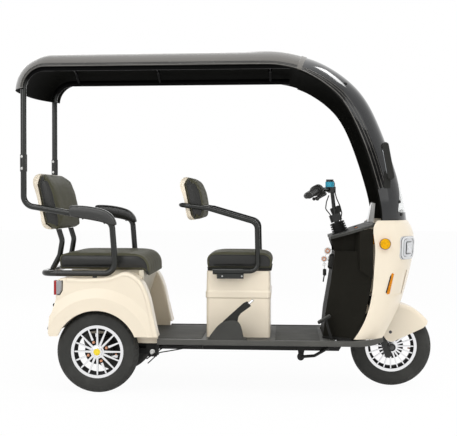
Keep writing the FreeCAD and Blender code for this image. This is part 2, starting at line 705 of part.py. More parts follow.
def canopy_frame():
    """Two side tubes, each a rear post bent forward into a roof rail, and three arched cross bows."""
    bend = 110.0
    route = [(post_x, -post_y, sleeve_high - 40.0 + running_gap), (post_x, -post_y, rail_z),
             (canopy_front_x, -post_y, rail_z)]
    side = bent_rod(route, bend, tube_radius)
    pieces = [side, mirrored(side)]
    for x in (post_x + 150.0, rear_axle_x + 242.0, canopy_front_x - 110.0):
        bow = [(x, -post_y, rail_z), (x, -post_y + 110.0, rail_z + 54.0), (x, -120.0, roof_top - 30.0),
               (x, 120.0, roof_top - 30.0), (x, post_y - 110.0, rail_z + 54.0), (x, post_y, rail_z)]
        pieces.append(bent_rod(bow, 80.0, 9.0))
    return join(pieces)


def crown_points(half_width, drop, power, lift=0.0, count=7):
    """Across the vehicle: height below the crown grows with a power of the distance out."""
    steps = [math.sin(math.pi / 2 * k / count) for k in range(-count, count + 1)]
    return [(half_width * s, lift - drop * abs(s) ** power) for s in steps]


def roof_section():
    """The roof's thin arched section, in the plane X = 0, its crown at the roof's top."""
    outer = crown_points(roof_half_width, roof_drop, crown_power, roof_top)
    inner = crown_points(roof_half_width - roof_skin, roof_drop - roof_skin, crown_power, roof_top - roof_skin)
    top = smooth([(0, y, z) for y, z in outer])
    under = smooth([(0, y, z) for y, z in reversed(inner)])
    right = Part.makeLine(V(0, *outer[-1]), V(0, *inner[-1]))
    left = Part.makeLine(V(0, *inner[0]), V(0, *outer[0]))
    return Part.Face(Part.Wire([top, right, under, left]))


def roof_shell():
    """The arched section drawn forward, turned down at the rear and eased down at the front."""
    section = roof_section()
    middle = section.translated(V(roof_centre_x, 0, 0)).extrude(V(roof_flat_end - roof_centre_x, 0, 0))
    rear = section.translated(V(roof_centre_x, 0, 0)).revolve(
        V(roof_centre_x, 0, roof_centre_z), V(0, -1, 0), 87)
    front = section.translated(V(roof_flat_end, 0, 0)).revolve(
        V(roof_flat_end, 0, roof_top - front_bend_radius), V(0, 1, 0), band_turn)
    return join([rear, middle, front])


def front_line(degrees):
    """The point on the front bend's crown after a turn."""
    a = math.radians(degrees)
    return (roof_flat_end + front_bend_radius * math.sin(a),
            roof_top - front_bend_radius * (1 - math.cos(a)))


screen_base = (front_axle_x + 75.0, floor_top + 627.0)
screen_base_slope = 90.0
front_base_half = floor_half_width
front_base_bow = 150.0


def station_wire(x, z, slope, half_width, bow, power, inset=0.0, thick=8.0):
    """A closed arch band across the vehicle, square to the centre line at a station."""
    a = math.radians(slope)
    normal = (math.sin(a), math.cos(a))
    outer = crown_points(half_width - inset, bow - inset, power, -inset)
    inner = crown_points(half_width - inset - thick, bow - inset - thick * 0.4, power, -inset - thick)
    place = lambda y, n: V(x + normal[0] * n, y, z + normal[1] * n)
    outer_curve = Part.BSplineCurve()
    outer_curve.interpolate([place(*p) for p in outer])
    inner_curve = Part.BSplineCurve()
    inner_curve.interpolate([place(*p) for p in reversed(inner)])
    return Part.Wire([outer_curve.toShape(), Part.makeLine(place(*outer[-1]), place(*inner[-1])),
                      inner_curve.toShape(), Part.makeLine(place(*inner[0]), place(*outer[0]))])


def front_stations(inset=0.0, thick=12.0):
    """Stations from the roof's joint band down to the screen's base, squarer in the middle."""
    stations = []
    for share, power in ((0.0, crown_power), (0.33, 4.2), (0.66, 5.2), (1.0, 6.2)):
        turn = band_turn + 0.05 + share * (50.0 - band_turn)
        x, z = front_line(turn)
        width = roof_half_width - 60.0 * share
        stations.append((x, z, turn, width, roof_drop + 10.0 * share, power))
    x, z = front_line(51.0)
    steps = ((0.35, 62.0, front_base_half + 32.0, 124.0, 6.4), (0.7, 69.0, front_base_half + 14.0, 134.0, 6.0),
             (1.0, screen_base_slope, front_base_half, front_base_bow, 3.4))
    for share, slope, width, bow, power in steps:
        bulge = 30.0 * math.sin(math.pi * share)
        stations.append((x + (screen_base[0] - x) * share + bulge, z + (screen_base[1] - z) * share + bulge * 0.4,
                         slope, width, bow, power))
    return [station_wire(*s, inset=inset, thick=thick) for s in stations]


def front_frame():
    """The header and pillars: one bowed band with the screen's opening cut through it."""
    band = Part.makeLoft(front_stations(), True, False)
    return band.cut(screen_opening(0.0))


def screen_opening(shrink):
    """The space of the screen between the pillars, header and sill, wider at its foot."""
    low, high = screen_base[1] + 40.0 + shrink, roof_top - 188.0 - shrink
    foot, waist, top = 284.0 - shrink, 246.0 - shrink, 226.0 - shrink
    x = front_axle_x - 270.0 + shrink
    outline = [(-foot, low), (foot, low), (foot - 4.0, low + 40.0), (waist, low + 190.0), (top, high - 60.0),
               (top - 18.0, high - 18.0), (top - 60.0, high), (60.0 - top, high), (18.0 - top, high - 18.0),
               (-top, high - 60.0), (-waist, low + 190.0), (4.0 - foot, low + 40.0), (-foot, low)]
    face = Part.Face(Part.makePolygon([V(x, y, z) for y, z in outline]))
    return face.extrude(V(560.0, 0, 0))


def windscreen():
    """The clear bowed sheet that fills the frame's opening."""
    sheet = Part.makeLoft(front_stations(inset=2.0, thick=5.0), True, False)
    return sheet.common(screen_opening(running_gap))


# Nose
def nose_wire(z, rear_x, front_x, half, power, inset):
    """A bow in plan at a height, from one rear edge round the nose to the other."""
    count = 6
    points = []
    for k in range(-count, count + 1):
        s = k / count
        y = (half - inset) * math.sin(s * math.pi / 2)
        run = (front_x - inset - rear_x) * max(0.0, 1 - abs(math.sin(s * math.pi / 2)) ** power) ** (1 / power)
        points.append(V(rear_x + run, y, z))
    curve = Part.BSplineCurve()
    curve.interpolate(points)
    return curve.toShape()


def nose_section(z, rear_x, front_x, half, power, outset, depth):
    """The nose's skin at one height, from an outward offset to a depth below the surface."""
    outer = nose_wire(z, rear_x, front_x, half, power, -outset)
    inner = nose_wire(z, rear_x, front_x, half, power, depth)
    ends = [v.Point for v in outer.Vertexes]
    inside = [v.Point for v in inner.Vertexes]
    return Part.Wire([outer, Part.makeLine(ends[1], inside[1]), inner, Part.makeLine(inside[0], ends[0])])


def nose_levels():
    """Heights of the nose with its rear edge, front and half width at each."""
    x, z, half = front_axle_x, floor_top, floor_half_width
    return ((z + 12.0, x - 220.0, x + 5.0, half + 4.0), (z + 122.0, x - 158.0, x + 30.0, half),
            (z + 262.0, x - 124.0, x + 72.0, half - 6.0), (z + 422.0, x - 112.0, x + 110.0, half - 8.0),
            (z + 512.0, x - 113.0, x + 120.0, half - 6.0), (z + 582.0, x - 120.0, x + 108.0, half - 2.0),
            (screen_base[1] - running_gap, x - 98.0, x + 80.0, half - 2.0))


def nose_band(outset, depth):
    """The whole nose as a band between an outward offset and a depth."""
    sections = [nose_section(z, r, f, h, 2.3, outset, depth) for z, r, f, h in nose_levels()]
    return Part.makeLoft(sections, True, False)


def facet_outline():
    """The recessed patch round the slanted turn lamp, in side view."""
    x, z = front_axle_x, floor_top
    return [(x - 14.0, z + 352.0), (x + 10.0, z + 365.0), (x + 66.0, z + 367.0), (x + 38.0, z + 242.0),
            (x - 26.0, z + 232.0), (x - 50.0, z + 246.0)]


def front_fascia():
    """The cream nose, bowed in plan, open below for the wheel, with a recess for each turn lamp."""
    nose = nose_band(0.0, skin)
    x, z = front_axle_x, floor_top
    wheel_gap = side_slab([(x - 76.0, z + 2.0), (x + 46.0, z + 202.0), (x + 400.0, z + 202.0), (x + 400.0, z + 2.0)],
                          -500.0, 500.0)
    nose = nose.cut(wheel_gap).cut(lamp_pods(running_gap)).cut(side_lamp_pods(running_gap))
    recess = nose_band(5.0, 3.0).common(both_sides(side_slab(facet_outline(), -450.0, -200.0)))
    return nose.cut(recess).cut(turn_lamps(running_gap))


def shield_section(z, back_x, front_x, half):
    """The leg shield's skin at one height: open at the front, folded back at its sides."""
    fold = 0.62
    outer = [(front_x, -half), (back_x + 60.0, -half * fold - 40.0), (back_x, -half * fold),
             (back_x, half * fold), (back_x + 60.0, half * fold + 40.0), (front_x, half)]
    t = skin
    inner = [(front_x, half - t), (back_x + 60.0 + t, half * fold + 40.0 - t), (back_x + t, half * fold - t * 0.6),
             (back_x + t, -half * fold + t * 0.6), (back_x + 60.0 + t, -half * fold - 40.0 + t), (front_x, -half + t)]
    points = [V(x, y, z) for x, y in outer + inner]
    return Part.makePolygon(points + [points[0]])


def cowl_plan(depth):
    """The upper cowl's folded outline in plan, moved inwards by a depth."""
    x = front_axle_x - 120.0 - running_gap
    right = [(x - 210.0, 0.0), (x - 210.0, -150.0), (x - 145.0, -216.0), (x - 90.0, -228.0), (x - 66.0, -300.0),
             (x, -332.0), (x, 0.0)]
    points = moved_inwards(right, depth) if depth else right
    points = [(px, min(py, 0.0)) for px, py in points]
    points[0] = (points[1][0], 0.0)
    points[-1] = (x + (depth * 0.0), 0.0)
    points[-2] = (x, points[-2][1])
    return points


def cowl_half(depth, z_low, z_high):
    """The right half of the cowl's outline as a solid column."""
    points = [V(px, py, z_low) for px, py in cowl_plan(depth)]
    return Part.Face(Part.makePolygon(points + [points[0]])).extrude(V(0, 0, z_high - z_low))


def cowl_side(grow=0.0):
    """The upper cowl in side view, between the dash and the slanting step above the leg shield."""
    x, z = front_axle_x, floor_top
    return side_slab([(x - 333.0, z + 523.0), (x - 313.0, z + 470.0), (x - 312.0, z + 450.0),
                      (x - 116.0, z + 322.0 - grow), (x - 100.0, z + 322.0 - grow), (x - 100.0, z + 583.0),
                      (x - 147.0, z + 582.0), (x - 242.0, z + 552.0)], -400.0, 400.0)


def inner_shield():
    """The black leg shield behind the nose: a lower shield under a folded upper cowl."""
    x, z = front_axle_x, floor_top
    rears = (x - 220.0, x - 158.0, x - 124.0, x - 115.0)
    levels = ((z + 4.0, x - 372.0, rears[0], 336.0), (z + 132.0, x - 360.0, rears[1], 330.0),
              (z + 293.0, x - 333.0, rears[2], 318.0), (z + 463.0, x - 308.0, rears[3], 318.0))
    lower = Part.makeLoft([shield_section(h, b, f - running_gap - 2.0, w) for h, b, f, w in levels], True, True)
    column = join([cowl_half(0.0, z + 300.0, z + 600.0), mirrored(cowl_half(0.0, z + 300.0, z + 600.0))])
    inside = join([cowl_half(skin, z + 290.0, z + 610.0), mirrored(cowl_half(skin, z + 290.0, z + 610.0))])
    front = block((x - 121.0 - skin, x), (-320.0, 320.0), (z + 200.0, z + 700.0))
    cowl = column.common(cowl_side()).cut(inside).cut(front)
    whole = join([lower.cut(inside.common(cowl_side())), cowl])
    return max(whole.Solids, key=lambda solid: solid.Volume)


def dash_line():
    """The dash's top and under side, as an outline in side view."""
    x, z = front_axle_x, floor_top
    return [(x - 333.0, z + 524.0), (x - 334.0, z + 538.0), (x - 242.0, z + 566.0), (x - 147.0, z + 596.0),
            (x - 124.0, z + 603.0), (x - 118.0, z + 614.0), (x - 104.0, z + 614.0), (x - 104.0, z + 594.0),
            (x - 147.0, z + 583.0), (x - 242.0, z + 553.0)]


def dash_panel():
    """The sloping dash over the leg shield, with the hole for the steering column's boot."""
    slab = side_slab(dash_line(), -306.0, 306.0)
    corners = [V(front_axle_x - 340.0, side * 320.0, floor_top + 500.0) for side in (-1, 1)]
    for side, corner in zip((-1, 1), corners):
        wedge = Part.makePolygon([corner, corner + V(0, -side * 110.0, 0), corner + V(120.0, 0, 0), corner])
        slab = slab.cut(Part.Face(wedge).extrude(V(0, 0, 120.0)))
    hole = rod(along_axis(head_high_z, 0.0), along_axis(head_high_z, 300.0), 50.0)
    return slab.cut(hole)


def dash_display():
    """The instrument's slanted housing on the dash."""
    x, z = front_axle_x, floor_top
    slab = side_slab([(x - 124.0, z + 614.3), (x - 104.0, z + 718.0), (x - 88.0, z + 714.0), (x - 96.0, z + 614.3)],
                     -60.0, 60.0)
    return slab


# Steering
leg_offset = 35.0
leg_y = tyre_width / 2 + 25.0
slider_radius = 19.0
bar_centre = (front_axle_x - 320.0, 0.0, floor_top + 788.0)
bar_radius = 11.0
bar_end = (bar_centre[0] - 129.0, -345.0, bar_centre[2] - 31.0)
bar_bend = (bar_centre[0] - 74.0, -200.0, bar_centre[2] + 2.0)
stem_top_run = 205.0


def front_fork():
    """Crown, stem and two telescopic legs behind the axle, with the axle held in bosses at their feet."""
    crown = V(*axis_point(crown_z))
    pieces = [rod(axis_point(crown_z), along_axis(head_high_z, stem_top_run), stem_radius),
              rod(along_axis(head_low_z, -24.0), along_axis(head_low_z, -0.5), head_outer)]
    plate = Part.makeBox(leg_offset + 60.0, 2 * (leg_y + slider_radius), 26.0,
                         V(-30.0, -leg_y - slider_radius, -13.0))
    plate.rotate(V(0, 0, 0), V(0, 1, 0), -rake_degrees)
    plate.translate(crown)
    pieces.append(plate)
    for side in (-1, 1):
        top = crown + steer_ahead * leg_offset + V(0, side * leg_y, 0)
        whole = (crown_z - axle_height + 52.0) / math.cos(rake) + 12.0
        joint, foot = top - steer_up * (whole * 0.4), top - steer_up * whole
        pieces.append(rod(tuple(top), tuple(joint), 14.0))
        pieces.append(rod(tuple(joint), tuple(foot), slider_radius))
        pieces.append(rod((front_axle_x, side * (leg_y - 14.0), axle_height),
                          (front_axle_x, side * (leg_y + 18.0), axle_height), 21.0))
    pieces.append(rod((front_axle_x, -leg_y - 22.0, axle_height), (front_axle_x, leg_y + 22.0, axle_height),
                      axle_radius))
    return join(pieces)


def handlebar():
    """The twin-tube riser on the stem and the swept-back bar in its clamps."""
    top = V(*along_axis(head_high_z, stem_top_run))
    start = top + steer_up * running_gap
    base_top = start + V(-4.0, 0, 44.0)
    base = Part.makeBox(62.0, 60.0, 40.0, V(-31.0, -30.0, 0.0))
    base.rotate(V(0, 0, 0), V(0, 1, 0), -rake_degrees)
    base.translate(start)
    pieces = [base]
    x, z = bar_centre[0], bar_centre[2]
    for side in (-1, 1):
        pieces.append(bent_rod([(base_top.x - 4.0, side * 17.0, base_top.z - 14.0),
                                (x + 12.0, side * 17.0, base_top.z + 34.0), (x + 2.0, side * 17.0, z)], 30.0, 10.0))
    pieces.append(block((x - 19.0, x + 21.0), (-34.0, 34.0), (z - 17.0, z + 17.0)))
    half = [bar_end, bar_bend, (x, -70.0, z)]
    route = half + [(px, -py, pz) for px, py, pz in reversed(half)]
    pieces.append(bent_rod(route, 50.0, bar_radius))
    return join(pieces)


def handlebar_grips():
    """Rubber grips over the bar's ends."""
    end, bend = V(*bar_end), V(*bar_bend)
    run = (bend - end).normalize()
    grip = rod(end - run * 4.0, end + run * 112.0, 17.5)
    flange = rod(end + run * 106.0, end + run * 112.0, 24.0)
    return both_sides(join([grip, flange]).cut(rod(end - run * 0.3, end + run * 130.0, bar_radius + 0.1)))


def handlebar_controls():
    """Switch housings beside the grips, with the brake levers in front of the grips."""
    end, bend = V(*bar_end), V(*bar_bend)
    run = (bend - end).normalize()
    low, high = end + run * 114.0, end + run * 152.0
    housing = join([rod(low, high, 25.0), rod(low + run * 6.0, high - run * 4.0, 29.0)])
    perch = rod(high - run * 26.0 + V(6.0, 0, -6.0), high - run * 26.0 + V(42.0, 0, -16.0), 11.0)
    lever = bent_rod([(high.x + 24.0, high.y - 20.0, high.z - 14.0), (high.x + 38.0, high.y - 40.0, high.z - 24.0),
                      (end.x + 42.0, end.y + 12.0, end.z - 18.0)], 20.0, 6.0)
    knob = Part.makeSphere(10.0, V(end.x + 42.0, end.y + 14.0, end.z - 18.0))
    whole = join([housing, perch, lever, knob])
    sides = both_sides(whole.cut(rod(low - run * 5.0, high + run * 5.0, bar_radius + 0.1)))
    return Part.makeCompound(sides.Solids + control_cables().Solids)


def switch_pod():
    """The round control pod with its cap, clipped on the bar inside the right grip."""
    x, z = bar_centre[0] - 14.0, bar_centre[2] + bar_radius
    pod = join([rod((x, -100.0, z + 1.0), (x, -100.0, z + 32.0), 24.0),
                rod((x, -100.0, z + 32.0), (x, -100.0, z + 44.0), 20.0)])
    clip = block((x - 16.0, x + 22.0), (-112.0, -88.0), (z - 24.0, z + 3.0))
    return join([pod, clip]).cut(handlebar())


def control_cables():
    """Cables that run down beside the riser into the boot."""
    x, z = bar_centre[0], bar_centre[2]
    right = bent_rod([(x + 14.0, -37.0, z - 4.0), (x + 26.0, -37.0, z - 48.0), (x + 44.0, -37.0, z - 88.0),
                      (x + 54.0, -37.0, z - 126.0), (x + 46.0, -34.0, z - 178.0)], 22.0, 3.0)
    left = bent_rod([(x - 16.0, -36.0, z - 30.0), (x - 29.0, -36.0, z - 66.0), (x - 34.0, -36.0, z - 104.0),
                     (x - 8.0, -36.0, z - 136.0), (x + 4.0, -34.0, z - 178.0)], 22.0, 3.0)
    return Part.makeCompound([right, left])


def fender_half():
    """Half the mudguard's width: its skirts pass outside the fork's legs."""
    return leg_y + slider_radius + 5.0


def front_fender():
    """The mudguard over the front wheel, with deep side skirts down to the fork."""
    radius = tyre_radius + 24.0
    gap = tyre_radius + 13.0
    half = fender_half()
    x, z = front_axle_x, axle_height
    centre = (x, z)
    outline = [polar(centre, radius, 97.0), polar(centre, radius, 65.0) + polar(centre, radius, 37.0),
               (x + 184.0, z + 126.0), (x + 166.0, z + 108.0), (x + 90.0, z + 72.0), (x + 8.0, z + 33.0),
               (x - 10.0, z + 32.0), (x - 30.0, z + 42.0), (x - 44.0, z + 62.0), (x - 60.0, z + 112.0),
               (x - 50.0, z + 190.0)]
    solid = side_slab(outline, -half, half)
    solid = round_edges(solid, 26.0, lambda e: at_side(e) and e.BoundBox.XMax - e.BoundBox.XMin > 150.0
                        and e.BoundBox.ZMax > z + radius - 1.0)
    inner = rod((x, -half + 4.0, z), (x, half - 4.0, z), gap)
    inner = round_edges(inner, 22.0, at_side)
    return solid.cut(inner)


boot_low = 124.0
boot_high = 200.0


def steering_bellows():
    """The ribbed rubber boot around the stem, which turns with it."""
    ribs = 6
    step = (boot_high - boot_low) / ribs
    pieces = [rod(along_axis(head_high_z, boot_low), along_axis(head_high_z, boot_high), 33.0)]
    for count in range(ribs):
        low = along_axis(head_high_z, boot_low + step * (count + 0.18))
        high = along_axis(head_high_z, boot_low + step * (count + 0.82))
        pieces.append(rod(low, high, 44.0 - count * 0.8))
    boot = join(pieces).cut(rod(along_axis(head_high_z, 100.0), along_axis(head_high_z, 260.0), stem_radius + 0.1))
    return boot.cut(control_cables())


# Driver's seat
def rounded_wire(grow, corner, z):
    """A rounded rectangle in plan round the seat box, at a height."""
    x0, x1 = box_rear_x - grow, box_front_x + grow
    half, r = box_half_width + grow, corner + grow
    bend = r * (1 - math.cos(math.pi / 4))
    edges = [Part.makeLine(V(x0 + r, -half, z), V(x1 - r, -half, z)),
             Part.Arc(V(x1 - r, -half, z), V(x1 - bend, -half + bend, z), V(x1, -half + r, z)).toShape(),
             Part.makeLine(V(x1, -half + r, z), V(x1, half - r, z)),
             Part.Arc(V(x1, half - r, z), V(x1 - bend, half - bend, z), V(x1 - r, half, z)).toShape(),
             Part.makeLine(V(x1 - r, half, z), V(x0 + r, half, z)),
             Part.Arc(V(x0 + r, half, z), V(x0 + bend, half - bend, z), V(x0, half - r, z)).toShape(),
             Part.makeLine(V(x0, half - r, z), V(x0, -half + r, z)),
             Part.Arc(V(x0, -half + r, z), V(x0 + bend, -half + bend, z), V(x0 + r, -half, z)).toShape()]
    return Part.Wire(edges)


def driver_seat_box():
    """The cream box under the driver's cushion, with a raised belt round it."""
    z = floor_top
    levels = ((running_gap, 0.0), (206.0, 0.0), (214.0, 4.5), (241.0, 4.5), (250.0, 0.5), (box_top - z, -2.0))
    outer = Part.makeLoft([rounded_wire(grow, 20.0, z + up) for up, grow in levels], True, True)
    inner = Part.makeLoft([rounded_wire(-skin, 20.0, z - 1.0), rounded_wire(-skin - 2.0, 20.0, box_top + 1.0)], True, True)
    return outer.cut(inner)


def driver_cushion():
    """The driver's seat cushion, which lifts as the box's lid."""
    x, low = box_rear_x, box_top + running_gap
    return side_slab([(x + 2.0, low), (x, box_top + 62.0), (x + 18.0, box_top + 88.0), (x + 62.0, box_top + 99.0),
                      (x + 296.0, box_top + 96.0), (x + 333.0, box_top + 87.0), (x + 350.0, box_top + 58.0),
                      (x + 346.0, low)], -204.0, 204.0)


driver_arm_y = box_half_width + 28.0
driver_tube = 13.0
driver_back_x = box_rear_x - 136.0


def driver_arm_frame():
    """One bent tube: out of each side bracket, up as an arm and back behind the backrest."""
    x, z = box_rear_x, box_top
    route = [(x + 43.0, -driver_arm_y, z + 1.0), (x + 276.0, -driver_arm_y, z + 1.0),
             (x + 270.0, -driver_arm_y, z + 258.0), (x + 12.0, -driver_arm_y, z + 334.0),
             (driver_back_x, -driver_arm_y, z + 353.0), (driver_back_x, 0.0, z + 353.0)]
    half = bent_rod(route, 44.0, driver_tube)
    sleeve = rod((x + 36.0, -driver_arm_y, z + 1.0), (x + 198.0, -driver_arm_y, z + 1.0), 18.0)
    plate = block((x + 59.0, x + 200.0), (-driver_arm_y - 14.0, -box_half_width - running_gap), (z - 38.0, z - 12.0))
    half = join([half, sleeve, plate])
    return join([half, mirrored(half)])


def driver_back_shell(grow=0.0):
    """The moulded back of the driver's seat."""
    x, z = driver_back_x, box_top
    outer = [(x + 34.0, z + 501.0), (x + 11.0 - grow, z + 497.0), (x - 5.0 - grow, z + 466.0),
             (x + 8.0 - grow, z + 410.0), (x + 22.0 - grow, z + 350.0), (x + 30.0 - grow, z + 298.0),
             (x + 41.0 - grow, z + 274.0 - grow), (x + 68.0, z + 272.0 - grow)]
    inner = [(x + 68.0, z + 280.0), (x + 54.0, z + 296.0), (x + 40.0, z + 350.0), (x + 28.0, z + 410.0),
             (x + 16.0, z + 462.0), (x + 32.0, z + 494.0)]
    shell = back_panel((outer, inner), -grow, 228.0 + grow, z + 387.0, 116.0 + grow, 52.0)
    return shell.cut(rod((x, -260.0, z + 353.0), (x, 260.0, z + 353.0), driver_tube + running_gap))


def driver_back_pad():
    """The driver's back cushion."""
    x, z = driver_back_x, box_top
    front = [(x + 22.0, z + 498.0), (x + 46.0, z + 501.0), (x + 78.0, z + 484.0), (x + 104.0, z + 430.0),
             (x + 116.0, z + 370.0), (x + 120.0, z + 320.0), (x + 112.0, z + 280.0), (x + 66.0, z + 273.0)]
    rear = [(x + 50.0, z + 292.0), (x + 36.0, z + 350.0), (x + 24.0, z + 410.0), (x + 10.0, z + 462.0)]
    pad = back_panel((front, rear), 3.0, 228.0, z + 387.0, 114.0, 56.0)
    return pad.cut(driver_back_shell()).cut(rod((x, -260.0, z + 353.0), (x, 260.0, z + 353.0), driver_tube + 0.5))


# Controls on the floor
def handbrake_cover():
    """The moulded cover over the handbrake's foot."""
    x, z = box_rear_x, floor_top + 4.0 + running_gap
    curve = [(x + 15.0, z), (x + 38.0, z + 32.0), (x + 66.0, z + 66.0), (x + 92.0, z + 88.0), (x + 118.0, z + 99.0),
             (x + 143.0, z + 102.0), (x + 166.0, z + 97.0), (x + 184.0, z + 78.0), (x + 196.0, z + 44.0),
             (x + 203.0, z + 12.0)]
    corners = [(x + 219.0, z + 8.0), (x + 219.0, z)]
    cover = curved_slab(curve, corners, -sill_half_width + 4.0, -sill_half_width + 54.0)
    return round_edges(cover, 9.0, lambda e: at_side(e) and e.BoundBox.ZMax - e.BoundBox.ZMin > 60.0)


def handbrake_lever():
    """The lever, with its waisted grip and button."""
    x, z, y = box_rear_x, floor_top, -sill_half_width + 29.0
    bar = side_slab([(x + 112.0, z + 60.0), (x + 96.0, z + 98.0), (x + 202.0, z + 194.0), (x + 222.0, z + 204.0),
                     (x + 242.0, z + 180.0), (x + 190.0, z + 142.0), (x + 176.0, z + 122.0), (x + 166.0, z + 60.0)],
                    y - 10.0, y + 10.0)
    button = rod((x + 228.0, y, z + 190.0), (x + 252.0, y, z + 210.0), 6.0)
    return join([bar, button]).cut(handbrake_cover())


def brake_pedal():
    """The foot pedal on its arm."""
    x, z = front_axle_x - 335.0, floor_top
    pad = side_slab([(x - 68.0, z + 90.0), (x - 3.0, z + 130.0), (x + 2.0, z + 122.0), (x - 62.0, z + 82.0)],
                    -300.0, -252.0)
    arm = side_slab([(x - 30.0, z + 102.0), (x - 19.0, z + 110.0), (x - 7.0, z + 62.0), (x + 14.0, z + running_gap),
                     (x - 2.0, z + running_gap), (x - 19.0, z + 58.0)], -282.0, -270.0)
    return join([pad, arm])


def brake_linkage():
    """The bracket, pivot and push rod of the foot brake under the deck, and the cables behind it."""
    x, z, y = 420.0, rail_top, -rail_y - rail_width / 2 - 6.0
    plate = side_slab([(x - 25.0, z - 1.0), (x + 30.0, z - 1.0), (x + 18.0, z - 44.0), (x + 12.0, z - 80.0),
                       (x - 12.0, z - 80.0), (x - 14.0, z - 44.0)], y - 8.0, y)
    eye = rod((x, y - 16.0, z - 71.0), (x, y + 4.0, z - 71.0), 19.0)
    push = bent_rod([(x + 4.0, y - 13.0, z - 70.0), (x + 72.0, y - 13.0, z - 64.0), (x + 150.0, y - 13.0, z - 18.0)],
                    20.0, 8.0)
    hanger = block((x + 140.0, x + 160.0), (y - 20.0, y - 2.0), (z - 26.0, z - 0.3))
    return Part.makeCompound(join([plate, eye, push, hanger]).Solids + brake_cables().Solids)


def brake_cables():
    """Brake cables and the motor's leads, held along the underside of the deck by the right sill."""
    x, z = pivot_x, rail_top
    y = -wheel_inner_y + 20.0
    routes = [
        ([(x - 30.0, y, z - 84.0), (x + 2.0, y, z - 62.0), (x + 60.0, y, z - 22.0), (x + 130.0, y, z - 12.0),
          (x + 280.0, y, z - 5.0)], 3.0),
        ([(x - 22.0, y - 9.0, z - 106.0), (x + 40.0, y - 9.0, z - 48.0), (x + 140.0, y - 9.0, z - 30.0),
          (x + 262.0, y - 9.0, z - 5.0)], 3.0),
        ([(x + 30.0, y - 18.0, z - 30.0), (x + 66.0, y - 18.0, z - 9.0), (x + 110.0, y - 18.0, z - 18.0),
          (x + 190.0, y - 18.0, z - 5.0), (x + 286.0, y - 18.0, z - 5.0)], 2.4)]
    cables = [bent_rod(route, 24.0, radius) for route, radius in routes]
    clip = block((x + 248.0, x + 270.0), (y - 24.0, y + 6.0), (z - 24.0, z - 0.3))
    anchor = block((x + 24.0, x + 36.0), (y - 24.0, y + 6.0), (z - 60.0, z - 0.3))
    return join([clip, anchor] + cables)


# Lamps
def rounded_square(half_width, half_height, corner, depth):
    """A rounded square block across the X direction, centred on the origin."""
    solid = Part.makeBox(depth, 2 * half_width, 2 * half_height, V(-depth / 2, -half_width, -half_height))
    return round_edges(solid, corner, along_x)


def headlamp_prism(grow):
    """The rounded outline of the right headlamp, turned to face the nose's corner."""
    prism = rounded_square(80.0 + grow, 60.0 + grow, 22.0, 180.0)
    prism.rotate(V(0, 0, 0), V(0, 0, 1), -30.0)
    prism.translate(V(front_axle_x + 72.0, -238.0, floor_top + 483.0))
    return prism


def lamp_pods(grow):
    """The headlamps' outline, grown by a gap where it cuts the nose."""
    if grow:
        return both_sides(headlamp_prism(grow))
    return both_sides(headlamp_prism(0.0).common(nose_band(5.0, 14.0)))


def headlamps():
    """Lamps let into the nose's corners, standing a little proud of it."""
    return lamp_pods(0.0)


def side_lamp_pods(grow):
    """The round side lamps' outline, grown by a gap where it cuts the nose."""
    x, z = front_axle_x - 66.0, floor_top + 506.0
    return both_sides(rod((x, -floor_half_width + 34.0, z), (x + 6.0, -floor_half_width - 3.0, z), 28.0 + grow))


def turn_lamps(grow):
    """The slanted turn lamps in their recesses, grown by a gap where they cut the nose."""
    x, z = front_axle_x, floor_top
    g = grow
    outline = [(x - 26.0 - g, z + 350.0), (x - 20.0, z + 355.0 + g), (x - 11.0 + g, z + 349.0),
               (x - 34.0 + g, z + 247.0), (x - 46.0, z + 244.0 - g), (x - 53.0 - g, z + 252.0)]
    prism = side_slab(outline, -450.0, -200.0)
    if grow:
        return both_sides(prism)
    return both_sides(prism.common(nose_band(-0.5, 9.0)))


def signal_lamps():
    """Round amber side lamps and slanted turn lamps on the nose."""
    return Part.makeCompound(side_lamp_pods(0.0).Solids + turn_lamps(0.0).Solids)


def tail_lamp_blocks(grow):
    """The tail lamps' outline, grown by a gap where it cuts the body."""
    g = grow
    x, z = body_rear_x, axle_height
    outline = [(x - 8.0 - g, z + 374.0 + g), (x + 35.0 + g, z + 374.0 + g), (x + 33.0 + g, z + 322.0),
               (x + 20.0 + g, z + 301.0 - g), (x - 8.0 - g, z + 299.0 - g)]
    lamp = side_slab(outline, -flank_y - 3.5 - g, -flank_y + 44.0 + g)
    if not grow:
        lamp = round_edges(lamp, 7.0, lambda e: abs(e.BoundBox.YMax + flank_y + 3.5) < 1e-6
                           or (e.BoundBox.XMax < x - 7.0 and e.BoundBox.YMax - e.BoundBox.YMin < 1e-6))
    return both_sides(lamp)


def tail_lamps():
    """Upright lamps let into the rear body's corners."""
    return tail_lamp_blocks(0.0)


